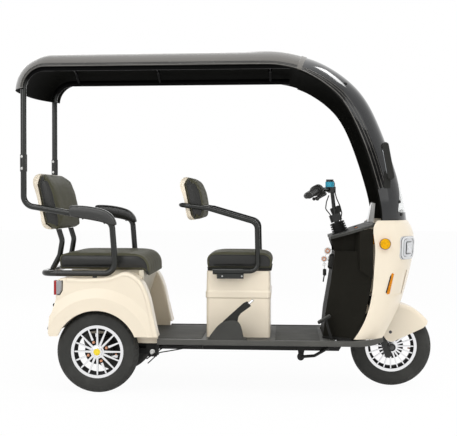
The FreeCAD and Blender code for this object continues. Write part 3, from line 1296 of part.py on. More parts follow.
def mirrors():
    """Rear-view mirrors folded against the pillars, on brackets bolted to them."""
    x, z = front_axle_x, floor_top
    top, low = V(x - 70.0, 0, z + 1008.0), V(x - 41.0, 0, z + 852.0)
    run = (low - top).normalize()
    side = V(-run.z, 0, run.x) * 17.0
    a, b, c, d = top + side, low + side, low - side, top - side
    tip, toe = top - run * 17.0, low + run * 17.0
    outline = [(a.x, a.z), (tip.x, tip.z, d.x, d.z), (c.x, c.z), (toe.x, toe.z, b.x, b.z)]
    head = side_slab(outline, -462.0, -374.0)
    head = round_edges(head, 7.0, at_side)
    frame = front_frame()
    post_x_here, post_z = x - 52.0, z + 838.0
    column = frame.common(block((post_x_here - 3.0, post_x_here + 3.0), (-600.0, 0.0), (post_z - 3.0, post_z + 3.0)))
    root_y = column.BoundBox.YMin
    foot = block((post_x_here - 20.0, post_x_here + 12.0), (root_y - 12.0, root_y + 10.0), (post_z - 46.0, post_z + 40.0))
    arm = rod((post_x_here + 4.0, root_y - 4.0, post_z + 22.0), (low.x, -400.0, low.z + 6.0), 8.0)
    bracket = join([foot, arm]).cut(frame)
    keep = [piece for piece in bracket.Solids if piece.BoundBox.YMin < root_y - 5.0]
    return both_sides(join([head] + keep))


rear_left = (rear_axle_x, rear_wheel_y, axle_height)
rear_right = (rear_axle_x, -rear_wheel_y, axle_height)
front_place = (front_axle_x, 0.0, axle_height)

nodes = {
    "chassis_frame": chassis_frame(),
    "floor_board": floor_board(),
    "floor_mats": floor_mats(),
    "side_sills": side_sills(),
    "rear_body": rear_body(),
    "rear_inner_walls": rear_inner_walls(),
    "seat_riser": seat_riser(),
    "battery_pack": battery_pack(),
    "rear_axle": rear_axle(),
    "swing_arms": swing_arms(),
    "rear_shocks": rear_shocks(),
    "rear_arm_frame": rear_arm_frame(),
    "rear_arm_pads": rear_arm_pads(),
    "rear_back_shell": rear_back_shell(),
    "rear_back_pad": rear_back_pad(),
    "rear_cushion": rear_cushion(),
    "canopy_frame": canopy_frame(),
    "roof_shell": roof_shell(),
    "front_frame": front_frame(),
    "windscreen": windscreen(),
    "front_fascia": front_fascia(),
    "inner_shield": inner_shield(),
    "dash_panel": dash_panel(),
    "dash_display": dash_display(),
    "front_fork": front_fork(),
    "handlebar": handlebar(),
    "handlebar_grips": handlebar_grips(),
    "handlebar_controls": handlebar_controls(),
    "switch_pod": switch_pod(),
    "front_fender": front_fender(),
    "steering_bellows": steering_bellows(),
    "driver_seat_box": driver_seat_box(),
    "driver_cushion": driver_cushion(),
    "driver_arm_frame": driver_arm_frame(),
    "driver_back_shell": driver_back_shell(),
    "driver_back_pad": driver_back_pad(),
    "handbrake_cover": handbrake_cover(),
    "handbrake_lever": handbrake_lever(),
    "brake_pedal": brake_pedal(),
    "brake_linkage": brake_linkage(),
    "headlamps": headlamps(),
    "signal_lamps": signal_lamps(),
    "tail_lamps": tail_lamps(),
    "mirrors": mirrors(),
    "front_tyre": tyre(front_place),
    "front_rim": rim(front_place, front_spokes, -1, through=True),
    "rear_left_tyre": tyre(rear_left),
    "rear_left_rim": rim(rear_left, rear_spokes, 1),
    "rear_right_tyre": tyre(rear_right),
    "rear_right_rim": rim(rear_right, rear_spokes, -1),
}

for name, shape in nodes.items():
    shape.exportStep(f"parts/{name}.step")
    print(f"{name:20s} solids {len(shape.Solids)} valid {shape.isValid()} volume {shape.Volume / 1e6:.3f} l")
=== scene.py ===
"""Finish and fine detail of the electric auto rickshaw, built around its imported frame.

Metres. +X is forward, +Y is the vehicle's left, +Z is up.
"""
import math

import bmesh
import bpy
import numpy as np
from mathutils import Matrix, Vector
from mathutils.bvhtree import BVHTree

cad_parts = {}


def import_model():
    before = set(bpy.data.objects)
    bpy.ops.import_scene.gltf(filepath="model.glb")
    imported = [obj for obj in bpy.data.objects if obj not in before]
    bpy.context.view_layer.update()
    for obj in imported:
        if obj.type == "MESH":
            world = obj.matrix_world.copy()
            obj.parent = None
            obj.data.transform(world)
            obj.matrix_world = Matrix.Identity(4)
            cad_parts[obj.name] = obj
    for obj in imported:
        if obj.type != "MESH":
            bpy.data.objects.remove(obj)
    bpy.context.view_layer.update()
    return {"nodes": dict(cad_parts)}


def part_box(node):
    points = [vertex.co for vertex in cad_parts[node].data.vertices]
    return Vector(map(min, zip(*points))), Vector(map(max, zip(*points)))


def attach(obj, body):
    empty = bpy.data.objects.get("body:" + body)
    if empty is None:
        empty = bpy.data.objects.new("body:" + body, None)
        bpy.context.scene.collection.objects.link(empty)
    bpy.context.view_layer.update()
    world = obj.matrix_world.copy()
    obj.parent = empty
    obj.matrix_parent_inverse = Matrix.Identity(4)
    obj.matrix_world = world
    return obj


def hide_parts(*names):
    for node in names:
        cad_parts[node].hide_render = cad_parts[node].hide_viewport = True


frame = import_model()
nodes = frame["nodes"]

UP = Vector((0, 0, 1))
RIGHT = Vector((0, -1, 0))
LEFT = Vector((0, 1, 0))
AHEAD = Vector((1, 0, 0))


# Places taken from the frame
def middle(name):
    """The middle of a CAD node's box."""
    low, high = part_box(name)
    return (low + high) / 2


def on_centre_line(place):
    return Vector((place.x, 0, place.z))


front_hub = on_centre_line(middle("front_tyre"))
rear_hub = on_centre_line(middle("rear_right_tyre"))
floor_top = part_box("floor_board")[1].z
bench_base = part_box("seat_riser")[1].z
roof_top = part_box("roof_shell")[1].z
roof_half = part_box("roof_shell")[1].y
cabin_middle = Vector((0.0, 0.0, 1.15))


def ahead(x, y, z):
    """A place measured from the front axle and the floor's top."""
    return Vector((front_hub.x + x, y, floor_top + z))


def behind(x, y, z):
    """A place measured from the rear axle and the bench's base."""
    return Vector((rear_hub.x + x, y, bench_base + z))


surfaces = {}


def surface(name):
    """The search tree of a CAD node's mesh."""
    if name not in surfaces:
        mesh = nodes[name].data
        points = [v.co for v in mesh.vertices]
        surfaces[name] = BVHTree.FromPolygons(points, [p.vertices for p in mesh.polygons])
    return surfaces[name]


def nearest(name, place):
    """The nearest point on a CAD node, and the way out of it there."""
    point, normal, _, _ = surface(name).find_nearest(Vector(place))
    return point, normal


def shot(name, start, heading):
    """Where a straight line first meets a CAD node, and the way out of it there."""
    point, normal, _, _ = surface(name).ray_cast(Vector(start), Vector(heading).normalized())
    if point is None:
        return nearest(name, start)
    return point, normal


# Materials
class Finish:
    """A material with its shader, and the few node patterns that the finishes share."""

    def __init__(self, name, colour, roughness, metallic=0.0, **constants):
        self.material = bpy.data.materials.new(name)
        self.material.use_nodes = True
        self.tree = self.material.node_tree
        self.shader = self.tree.nodes["Principled BSDF"]
        self.set("Base Color", (*colour, 1.0))
        self.set("Roughness", roughness)
        self.set("Metallic", metallic)
        for socket, value in constants.items():
            self.set(socket.replace("_", " "), value)
        self.colour, self.roughness, self.height = colour, roughness, None
        coordinates = self.tree.nodes.new("ShaderNodeTexCoord")
        self.place, self.facing = coordinates.outputs["Object"], coordinates.outputs["Normal"]

    def set(self, socket, value):
        self.shader.inputs[socket].default_value = value

    def node(self, kind, **settings):
        made = self.tree.nodes.new("ShaderNode" + kind)
        for key, value in settings.items():
            if key in made.inputs:
                made.inputs[key].default_value = value
            else:
                setattr(made, key, value)
        return made

    def link(self, output, socket):
        self.tree.links.new(output, socket)

    def maths(self, operation, *values):
        """A Math node on values that are numbers or other nodes' outputs."""
        made = self.node("Math", operation=operation)
        for value, socket in zip(values, made.inputs):
            if isinstance(value, (int, float)):
                socket.default_value = value
            else:
                self.link(value, socket)
        return made.outputs["Value"]

    def vector(self, operation, first, second, output="Vector"):
        """A Vector Math node on a node's output and fixed numbers or another output."""
        made = self.node("VectorMath", operation=operation)
        self.link(first, made.inputs[0])
        if isinstance(second, (tuple, Vector)):
            made.inputs[1].default_value = second
        elif second is not None:
            self.link(second, made.inputs[1])
        return made.outputs[output]

    def part_of(self, vector, axis):
        """One coordinate of a vector: 0, 1 or 2."""
        split = self.node("SeparateXYZ")
        self.link(vector, split.inputs["Vector"])
        return split.outputs[axis]

    def noise(self, scale, detail=3.0):
        """A noise value over the piece."""
        cloud = self.node("TexNoise", Scale=scale, Detail=detail)
        self.link(self.place, cloud.inputs["Vector"])
        return cloud.outputs["Fac"]

    def cells(self, scale, feature="DISTANCE_TO_EDGE"):
        """The distance to the edges of small cells, as in leather grain."""
        grain = self.node("TexVoronoi", feature=feature, Scale=scale)
        self.link(self.place, grain.inputs["Vector"])
        return grain.outputs["Distance"]

    def ramp(self, value, low, high):
        """The value spread from 0 at low to 1 at high."""
        spread = self.node("MapRange")
        self.link(value, spread.inputs["Value"])
        spread.inputs["From Min"].default_value = low
        spread.inputs["From Max"].default_value = high
        return spread.outputs["Result"]

    def shade(self, value, other):
        """The base colour moves to another as the value goes from 0 to 1."""
        mix = self.node("Mix", data_type="RGBA")
        self.link(value, mix.inputs["Factor"])
        current = self.shader.inputs["Base Color"]
        if current.is_linked:
            self.link(current.links[0].from_socket, mix.inputs["A"])
        else:
            mix.inputs["A"].default_value = (*self.colour, 1.0)
        mix.inputs["B"].default_value = (*other, 1.0)
        self.link(mix.outputs["Result"], current)
        return self

    def tone(self, value, factor):
        """The base colour moves to a multiple of itself as the value goes from 0 to 1."""
        return self.shade(value, tuple(c * factor for c in self.colour))

    def wear(self, value, low, high, socket="Roughness"):
        """The roughness, or another socket, goes from low to high with the value."""
        spread = self.node("MapRange")
        self.link(value, spread.inputs["Value"])
        spread.inputs["To Min"].default_value = low
        spread.inputs["To Max"].default_value = high
        self.link(spread.outputs["Result"], self.shader.inputs[socket])
        return self

    def uneven(self, scale, low, high, detail=3.0):
        """The roughness wanders between two shares of itself."""
        return self.wear(self.noise(scale, detail), self.roughness * low, self.roughness * high)

    def bump(self, value, depth, strength=1.0):
        """Relief of a depth in metres, stacked on any relief set before."""
        relief = self.node("Bump", Strength=strength, Distance=depth)
        self.link(value, relief.inputs["Height"])
        if self.height is not None:
            self.link(self.height, relief.inputs["Normal"])
        self.height = relief.outputs["Normal"]
        self.link(self.height, self.shader.inputs["Normal"])
        return self


soft_patches = (0.35, 0.75)
leather_grain = 520.0
lens_grain = 130.0
dull_shine = 0.02


def paint(name, colour, roughness=0.3, coat=0.5, peel=0.00004, shine=0.5):
    """Glossy paint or moulded gloss plastic, with a faint uneven surface."""
    finish = Finish(name, colour, roughness, Coat_Weight=coat, Coat_Roughness=0.06, Specular_IOR_Level=shine)
    finish.tone(finish.ramp(finish.noise(3.0), *soft_patches), 0.95)
    finish.uneven(18.0, 0.85, 1.25)
    finish.bump(finish.noise(160.0, 2.0), peel)
    return finish.material


def plastic(name, colour, roughness=0.55, grain=0.00012, scale=900.0, shine=0.2):
    """Moulded plastic with a fine pebbled grain."""
    finish = Finish(name, colour, roughness, Specular_IOR_Level=shine)
    finish.tone(finish.ramp(finish.noise(6.0), 0.4, 0.7), 1.2)
    finish.uneven(30.0, 0.9, 1.2)
    finish.bump(finish.noise(scale, 2.0), grain)
    return finish.material


def leather(name, colour, roughness, shine):
    """Artificial leather: fine cells, soft creases and an uneven gloss."""
    finish = Finish(name, colour, roughness, Specular_IOR_Level=shine)
    grain = finish.cells(leather_grain)
    finish.tone(finish.ramp(finish.noise(9.0), *soft_patches), 0.82)
    finish.tone(finish.ramp(grain, 0.10, 0.0), 0.72)
    finish.uneven(14.0, 0.85, 1.2)
    finish.bump(grain, 0.0004, 0.5)
    finish.bump(finish.noise(24.0, 4.0), 0.0012, 0.4)
    return finish.material


def metal(name, colour, roughness=0.3):
    """Bare or plated metal with a fine grain."""
    finish = Finish(name, colour, roughness, metallic=1.0)
    finish.uneven(60.0, 0.7, 1.5, 4.0)
    finish.bump(finish.noise(400.0, 2.0), 0.00005, 0.4)
    return finish.material


def rubber(name, colour, roughness=0.7):
    """Dull rubber with dusty patches."""
    finish = Finish(name, colour, roughness, Specular_IOR_Level=0.2)
    finish.tone(finish.ramp(finish.noise(12.0), 0.5, 0.75), 1.4)
    finish.uneven(24.0, 0.9, 1.15)
    finish.bump(finish.noise(700.0, 3.0), 0.00015)
    return finish.material


def lens(name, colour, grain=lens_grain):
    """A moulded lamp lens: glossy coloured plastic over fine prisms."""
    finish = Finish(name, colour, 0.15, Specular_IOR_Level=0.15)
    prisms = finish.cells(grain, "F1")
    finish.tone(finish.ramp(prisms, 0.15, 0.65), 0.72)
    finish.bump(prisms, 0.0008, 0.4)
    finish.wear(finish.noise(60.0), 0.1, 0.22)
    return finish.material


def screen_finish():
    """Clear acrylic sheet, with a faint uneven polish."""
    finish = Finish("clear_screen", (0.97, 0.98, 0.975), 0.015, Transmission_Weight=1.0, IOR=1.3)
    finish.uneven(5.0, 1.0, 2.5)
    return finish.material


def gloss_shell(name, colour, roughness, shine):
    """The canopy's gloss plastic: polished outside, with painted shade that turns it matt black where it
    faces the cabin's middle.
    """
    finish = Finish(name, colour, roughness)
    finish.tone(finish.ramp(finish.noise(3.0), *soft_patches), 0.92)
    outwards = finish.vector("SUBTRACT", finish.place, cabin_middle)
    facing = finish.vector("DOT_PRODUCT", finish.facing, outwards, "Value")
    # Painted shade: the faces turned to the cabin's middle are darkened to near black, made matt and lose
    # their shine.
    painted_shade = finish.ramp(facing, 0.03, -0.03)
    finish.shade(painted_shade, (0.007, 0.007, 0.006))
    finish.wear(painted_shade, roughness, 0.6)
    finish.wear(painted_shade, shine, dull_shine, "Specular IOR Level")
    finish.bump(finish.noise(120.0, 2.0), 0.00003)
    return finish.material


def frame_tubes():
    """Gloss black tubes, darkened and dulled by painted shade where they run inside the roof."""
    finish = Finish("tube_paint", (0.010, 0.011, 0.009), 0.15)
    # Painted shade: above this height, inside the roof, the tubes are darkened to near black and lose their
    # shine.
    painted_shade = finish.ramp(finish.part_of(finish.place, 2), roof_top - 0.20, roof_top - 0.16)
    finish.shade(painted_shade, (0.006, 0.006, 0.006))
    finish.wear(painted_shade, 0.48, dull_shine, "Specular IOR Level")
    finish.wear(finish.noise(18.0), 0.10, 0.20)
    finish.bump(finish.noise(160.0, 2.0), 0.00004)
    return finish.material


spoke_tip = 0.1275
spoke_back = 0.0225
lip_face = 0.0300
faced_share = 0.75


def rim_finish(name, node):
    """The cast rim: bright machined spokes and lip, black paint in the pockets and barrel."""
    finish = Finish(name, (0.008, 0.008, 0.008), 0.35, Specular_IOR_Level=0.15)
    maths = finish.maths
    away = finish.vector("SUBTRACT", finish.place, middle(node))
    radius = finish.vector("LENGTH", finish.vector("MULTIPLY", away, (1.0, 0.0, 1.0)), None, "Value")
    offset = maths("ABSOLUTE", finish.part_of(away, 1))
    faced = maths("GREATER_THAN", maths("ABSOLUTE", finish.part_of(finish.facing, 1)), faced_share)
    spokes = maths("MULTIPLY", maths("GREATER_THAN", offset, spoke_back),
                   maths("LESS_THAN", radius, spoke_tip))
    lip = maths("MULTIPLY", maths("GREATER_THAN", offset, lip_face),
                maths("GREATER_THAN", radius, spoke_tip))
    bright = maths("MULTIPLY", maths("MAXIMUM", spokes, lip), faced)
    finish.shade(bright, (0.86, 0.86, 0.87))
    finish.wear(bright, 0.0, 1.0, "Metallic")
    finish.wear(bright, 0.4, 0.2)
    finish.bump(finish.noise(500.0, 2.0), 0.00004)
    return finish.material


def pod_finish():
    """The control pod: a cyan ring between its black cap and clip."""
    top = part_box("switch_pod")[1].z
    finish = Finish("pod_plastic", (0.02, 0.02, 0.02), 0.4)
    height = finish.part_of(finish.place, 2)
    ring = finish.maths("MULTIPLY", finish.maths("GREATER_THAN", height, top - 0.040),
                        finish.maths("LESS_THAN", height, top - 0.013))
    finish.shade(ring, (0.035, 0.42, 0.60))
    finish.wear(finish.noise(60.0), 0.2, 0.45)
    finish.bump(finish.noise(700.0), 0.00008)
    return finish.material


def tail_finish():
    """The tail lamp: red at its rear edge, clear and silver ahead of it."""
    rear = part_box("tail_lamps")[0].x
    finish = Finish("red_lens", (0.42, 0.010, 0.010), 0.15, Coat_Weight=0.15, Specular_IOR_Level=0.3)
    ahead_of_red = finish.ramp(finish.part_of(finish.place, 0), rear + 0.0135, rear + 0.0150)
    finish.shade(finish.ramp(finish.cells(lens_grain, "F1"), 0.15, 0.65), (0.30, 0.008, 0.008))
    finish.shade(ahead_of_red, (0.33, 0.33, 0.34))
    finish.wear(finish.noise(60.0), 0.1, 0.22)
    return finish.material


band_gloss = paint("band_plastic", (0.100, 0.092, 0.080), 0.25, 0.1, shine=0.4)
lip_gloss = paint("lip_plastic", (0.110, 0.104, 0.092), 0.25, 0.2)
liner_black = paint("liner_black", (0.006, 0.006, 0.006), 0.4, 0.0, shine=0.15)
black_plastic = plastic("black_plastic", (0.020, 0.020, 0.018), 0.45)
olive_leather = leather("seat_top_leather", (0.104, 0.101, 0.066), 0.55, 0.05)
black_leather = leather("seat_side_leather", (0.016, 0.016, 0.014), 0.24, 0.45)
foam_rubber = leather("foam_rubber", (0.026, 0.026, 0.024), 0.28, 0.6)
tyre_rubber = rubber("tyre_rubber", (0.042, 0.042, 0.039), 0.66)
boot_rubber = rubber("boot_rubber", (0.012, 0.012, 0.011), 0.45)
mat_rubber = rubber("mat_rubber", (0.058, 0.058, 0.052), 0.7)
thread = rubber("thread", (0.030, 0.030, 0.026), 0.8)
zinc = metal("zinc_steel", (0.66, 0.66, 0.64), 0.3)
dark_steel = metal("dark_steel", (0.10, 0.10, 0.10), 0.4)
chrome = metal("lamp_chrome", (0.86, 0.86, 0.87), 0.12)
copper = metal("copper_nut", (0.72, 0.36, 0.22), 0.3)
mirror_glass = metal("mirror_glass", (0.45, 0.47, 0.49), 0.03)
clear_plastic = paint("bezel_plastic", (0.70, 0.71, 0.72), 0.2, 0.5)
yellow_cap = paint("yellow_cap", (0.92, 0.70, 0.02), 0.35, 0.3)
fob_white = paint("fob_white", (0.85, 0.84, 0.82), 0.35, 0.3)
fob_orange = paint("fob_orange", (0.85, 0.28, 0.08), 0.4, 0.2)
dark_glass = paint("dark_glass", (0.010, 0.011, 0.013), 0.08, 0.8, 0.0)
amber_lens = lens("amber_lens", (1.0, 0.50, 0.0))
red_lens = lens("reflector_lens", (0.50, 0.012, 0.010))
clear_lens = lens("clear_lens", (0.90, 0.91, 0.93), 90.0)

node_finishes = (
    (paint("cream_shell", (0.90, 0.80, 0.64), 0.30, 0.2, shine=0.4),
     "rear_body rear_inner_walls rear_back_shell driver_seat_box driver_back_shell front_fascia "
     "front_fender"),
    (frame_tubes(), "rear_arm_frame canopy_frame front_fork handlebar driver_arm_frame"),
    (paint("black_steel", (0.012, 0.012, 0.011), 0.45, 0.0, shine=0.25),
     "chassis_frame swing_arms rear_shocks brake_pedal brake_linkage"),
    (paint("axle_cast", (0.024, 0.024, 0.024), 0.5, 0.0, 0.0003, 0.3), "rear_axle"),
    # Painted reflection: the roof's base grey is lighter than the pillars' near black, standing in for the
    # sky reflected on its top and sides.
    (gloss_shell("roof_plastic", (0.085, 0.078, 0.068), 0.22, 0.35), "roof_shell"),
    (gloss_shell("pillar_plastic", (0.022, 0.023, 0.024), 0.09, 0.40), "front_frame"),
    (screen_finish(), "windscreen"),
    (black_plastic, "handlebar_controls handbrake_lever mirrors"),
    (plastic("grey_plastic", (0.050, 0.050, 0.046)), "dash_panel handbrake_cover"),
    (plastic("shield_plastic", (0.017, 0.016, 0.013), 0.45, 0.0001, shine=0.01), "inner_shield"),
    (plastic("sill_plastic", (0.084, 0.083, 0.076), 0.45), "side_sills"),
    (plastic("deck_plastic", (0.068, 0.068, 0.061), 0.55, 0.0003, 500.0), "floor_board"),
    (plastic("battery_case", (0.03, 0.03, 0.033), 0.5), "battery_pack"),
    (plastic("riser_plastic", (0.66, 0.61, 0.50), 0.45, 0.0001), "seat_riser"),
    (mat_rubber, "floor_mats"),
    (foam_rubber, "handlebar_grips"),
    (boot_rubber, "steering_bellows"),
    (pod_finish(), "switch_pod"),
    (paint("silver_trim", (0.56, 0.56, 0.55), 0.3, 0.3), "dash_display"),
    (paint("lamp_pearl", (0.62, 0.63, 0.65), 0.16, 0.8, 0.0), "headlamps"),
    (lens("orange_lens", (0.86, 0.30, 0.01)), "signal_lamps"),
    (tail_finish(), "tail_lamps"),
    (rim_finish("front_alloy", "front_tyre"), "front_rim"),
    (rim_finish("left_alloy", "rear_left_tyre"), "rear_left_rim"),
    (rim_finish("right_alloy", "rear_right_tyre"), "rear_right_rim"),
)


def finish_nodes():
    """Give each CAD node that shows its material."""
    for material, names in node_finishes:
        for name in names.split():
            node = nodes[name]
            if not node.material_slots:
                node.data.materials.append(material)
            for slot in node.material_slots:
                slot.material = material


# Mesh helpers. A part is a list of points and a list of faces.
def merge(parts):
    """One part out of several."""
    points, faces = [], []
    for more_points, more_faces in parts:
        start = len(points)
        points += more_points
        faces += [tuple(i + start for i in face) for face in more_faces]
    return points, faces


def moved(part, matrix):
    """A part placed by a matrix."""
    return [matrix @ Vector(p) for p in part[0]], part[1]


def across(part):
    """The mirror image of a part on the other side of the vehicle."""
    return [Vector((p[0], -p[1], p[2])) for p in part[0]], [tuple(reversed(f)) for f in part[1]]


def both(*parts):
    """Parts and their mirror images."""
    return merge(parts + tuple(across(part) for part in parts))


def grid(rows, closed_rows=False, closed_columns=False):
    """A part that joins rows of points into a sheet."""
    count = len(rows[0])
    points = [Vector(p) for row in rows for p in row]
    faces = []
    for i in range(len(rows) - (0 if closed_rows else 1)):
        for j in range(count - (0 if closed_columns else 1)):
            a, b = i * count, ((i + 1) % len(rows)) * count
            k = (j + 1) % count
            faces.append((a + j, a + k, b + k, b + j))
    return points, faces


def capped(rows):
    """A closed tube through rings of points, with flat ends."""
    points, faces = grid(rows, closed_columns=True)
    count = len(rows[0])
    faces.append(tuple(reversed(range(count))))
    faces.append(tuple(range(len(points) - count, len(points))))
    return points, faces


def towards(direction):
    """The turn that takes +Z to a direction."""
    return Vector(direction).to_track_quat("Z", "Y").to_matrix().to_4x4()


def ring_at(radius, along, segments):
    """A flat ring about the Z axis."""
    turns = [2 * math.pi * k / segments for k in range(segments)]
    return [Vector((radius * math.cos(a), radius * math.sin(a), along)) for a in turns]


def lathe(profile, centre, direction, segments=48):
    """A profile of (distance along, radius) turned about a line through the centre."""
    rings = [ring_at(radius, along, segments) for along, radius in profile]
    return moved(capped(rings), Matrix.Translation(Vector(centre)) @ towards(direction))


def hoop(radius, wire, centre, direction, segments=48, sides=10):
    """A round wire bent into a ring."""
    rows = []
    for s in range(sides):
        a = 2 * math.pi * s / sides
        rows.append(ring_at(radius + wire * math.cos(a), wire * math.sin(a), segments))
    part = grid(rows, closed_rows=True, closed_columns=True)
    return moved(part, Matrix.Translation(Vector(centre)) @ towards(direction))


def headings(path, closed):
    """The direction of a path at each of its points."""
    count = len(path)
    out = []
    for i in range(count):
        before = path[i - 1] if closed or i else path[0]
        after = path[(i + 1) % count] if closed or i < count - 1 else path[-1]
        out.append((after - before).normalized())
    return out


def sweep(path, radius, sides=12, section=None, closed=False):
    """A bar along a path; radius is a number or a function of the share of the way."""
    path = [Vector(p) for p in path]
    rings, normal = [], None
    for i, (point, heading) in enumerate(zip(path, headings(path, closed))):
        if normal is None:
            normal = heading.cross(UP if abs(heading.z) < 0.9 else RIGHT).normalized()
        normal = (normal - heading * normal.dot(heading)).normalized()
        other = heading.cross(normal)
        size = radius(i / (len(path) - 1)) if callable(radius) else radius
        ring = []
        for k in range(sides):
            a = 2 * math.pi * k / sides
            u, v = section(a) if section else (math.cos(a), math.sin(a))
            ring.append(point + normal * (u * size) + other * (v * size))
        rings.append(ring)
    return grid(rings, closed_rows=True, closed_columns=True) if closed else capped(rings)


def smooth_path(points, steps=8):
    """A smooth line through points, by Catmull-Rom spans."""
    points = [Vector(p) for p in points]
    whole = [points[0] * 2 - points[1]] + points + [points[-1] * 2 - points[-2]]
    out = []
    for a, b, c, d in zip(whole, whole[1:], whole[2:], whole[3:]):
        for k in range(steps):
            t = k / steps
            out.append(0.5 * ((2 * b) + (c - a) * t + (2 * a - 5 * b + 4 * c - d) * t * t
                              + (3 * b - a - 3 * c + d) * t ** 3))
    return out + [points[-1]]


def rounded_line(corners):
    """An open flat line through (x, z, radius) corners, with an arc at each corner between its ends."""
    line = [Vector(corners[0][:2])]
    for before, here, after in zip(corners, corners[1:], corners[2:]):
        corner, radius = Vector(here[:2]), here[2]
        arrive = (corner - Vector(before[:2])).normalized()
        leave = (Vector(after[:2]) - corner).normalized()
        turn = arrive.angle(leave, 0.0)
        reach = radius * math.tan(turn / 2)
        hub = corner + (leave - arrive).normalized() * (radius / math.cos(turn / 2))
        start = corner - arrive * reach - hub
        sign = 1 if arrive.x * leave.y - arrive.y * leave.x > 0 else -1
        for k in range(13):
            a = sign * turn * k / 12
            line.append(hub + Vector((start.x * math.cos(a) - start.y * math.sin(a),
                                      start.x * math.sin(a) + start.y * math.cos(a))))
    return line + [Vector(corners[-1][:2])]


def run_length(line):
    return sum((b - a).length for a, b in zip(line, line[1:]))


def resampled(line, count):
    """An open line at a number of even steps."""
    lengths = [0.0]
    for a, b in zip(line, line[1:]):
        lengths.append(lengths[-1] + (b - a).length)
    out, span = [], 0
    for k in range(count + 1):
        goal = lengths[-1] * k / count
        while span < len(line) - 2 and lengths[span + 1] < goal:
            span += 1
        share = (goal - lengths[span]) / max(1e-9, lengths[span + 1] - lengths[span])
        out.append(line[span].lerp(line[span + 1], min(1.0, share)))
    return out


def rounded_square(half_u, half_v, corner, steps=5):
    """The points of a rounded rectangle about the origin."""
    out = []
    for quarter, (su, sv) in enumerate(((1, 1), (-1, 1), (-1, -1), (1, -1))):
        for k in range(steps + 1):
            a = math.pi / 2 * (quarter + k / steps)
            out.append((su * (half_u - corner) + corner * math.cos(a),
                        sv * (half_v - corner) + corner * math.sin(a)))
    return out


def plane(centre, across_way, up_way, out):
    """A function that turns (u, v, height) into a point over a flat face."""
    return lambda u, v, height: centre + across_way * u + up_way * v + out * height


def slope(foot, top):
    """The middle of a slope that faces up or to the rear, the way up it and the way out of it."""
    run = (top - foot).normalized()
    return (foot + top) / 2, run, Vector((-run.z, 0, run.x))


def slab(outline, place, depth, edge=0.0008):
    """A plate of an outline about the origin, its rim eased; place is the function of a plane."""
    shrink = 1 - edge / max(math.hypot(u, v) for u, v in outline)
    rings = ((1.0, 0.0), (1.0, depth - edge), (shrink, depth))
    return capped([[place(u * scale, v * scale, height) for u, v in outline] for scale, height in rings])


def piece(name, part, material, body="root", sharp=35.0):
    """A new piece of the scene that rides on a body."""
    mesh = bpy.data.meshes.new(name)
    mesh.from_pydata([tuple(p) for p in part[0]], [], part[1])
    mesh.validate()
    for entry in material if isinstance(material, list) else [material]:
        mesh.materials.append(entry)
    made = bpy.data.objects.new(name, mesh)
    bpy.context.scene.collection.objects.link(made)
    outward(made)
    mesh.shade_smooth()
    mesh.set_sharp_from_angle(angle=math.radians(sharp))
    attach(made, body)
    return made


def outward(made):
    """Turn every face of a piece to face out."""
    work = bmesh.new()
    work.from_mesh(made.data)
    bmesh.ops.recalc_face_normals(work, faces=work.faces)
    work.to_mesh(made.data)
    work.free()


# Fasteners and turned pieces, which close at their axis with a ring of a small radius
tip = 0.0003


def screw(place, direction, radius=0.004, height=0.0022):
    """A pan head screw with a socket in its crown."""
    profile = [(-0.001, radius), (height * 0.55, radius), (height * 0.9, radius * 0.8),
               (height, radius * 0.5), (height, radius * 0.42), (height * 0.45, radius * 0.36),
               (height * 0.45, tip)]
    return lathe(profile, place, direction, 20)


def bolt(place, direction, radius=0.007, height=0.005):
    """A hexagon bolt head on a washer."""
    washer = lathe([(-0.0005, radius * 1.5), (0.0013, radius * 1.5), (0.0015, radius)], place, direction, 28)
    head = lathe([(0.0015, radius), (height + 0.0005, radius), (height + 0.0015, radius * 0.85),
                  (height + 0.0018, radius * 0.3)], place, direction, 6)
    return merge([washer, head])


def plug(place, direction, radius=0.008, height=0.005):
    """A domed rubber plug."""
    profile = [(-0.002, radius * 0.9), (0.0, radius), (height * 0.5, radius * 0.95),
               (height * 0.85, radius * 0.7), (height, radius * 0.3), (height, tip)]
    return lathe(profile, place, direction, 24)


# Tyres
tread_depth = 0.004
tread_pitches = 40
tyre_steps = 240
crown_share = 0.93
crown_drop = 0.020
bead_share = 0.652
wall_rings = ((0.45, 0.52), (0.10, 0.20))
wall_ring_swell = 1.014


def tyre_profile(half, outer, inner):
    """The tyre's outside from bead to bead, as (distance across, radius)."""
    crown, wall = [], []
    for k in range(33):
        s = -1 + 2 * k / 32
        crown.append((s * half * crown_share, outer - crown_drop * abs(s) ** 2.6))
    for k in range(1, 9):
        t = k / 9
        bulge = crown_share + 0.09 * math.sin(math.pi * t) - 0.14 * t
        wall.append((half * bulge, outer - crown_drop - (outer - crown_drop - inner) * t))
    right = wall + [(half * 0.76, inner + 0.001), (half * 0.68, inner - 0.004)]
    return [(-y, r) for y, r in reversed(right)] + crown + right


def tread_cut(share, side, turn):
    """How deep the tread is cut: two wavy grooves, slanted shoulder slots and fine middle slots."""
    pitch = turn * tread_pitches / (2 * math.pi)
    if abs(share - 0.32 - 0.05 * math.sin(turn * tread_pitches)) < 0.055:
        return tread_depth
    if 0.45 < share < 0.98 and (pitch + share * 0.8 + (0.5 if side > 0 else 0.0)) % 1.0 < 0.22:
        return tread_depth * 0.9
    if share < 0.2 and (pitch + share * side * 1.5) % 1.0 < 0.10:
        return tread_depth * 0.5
    return 0.0


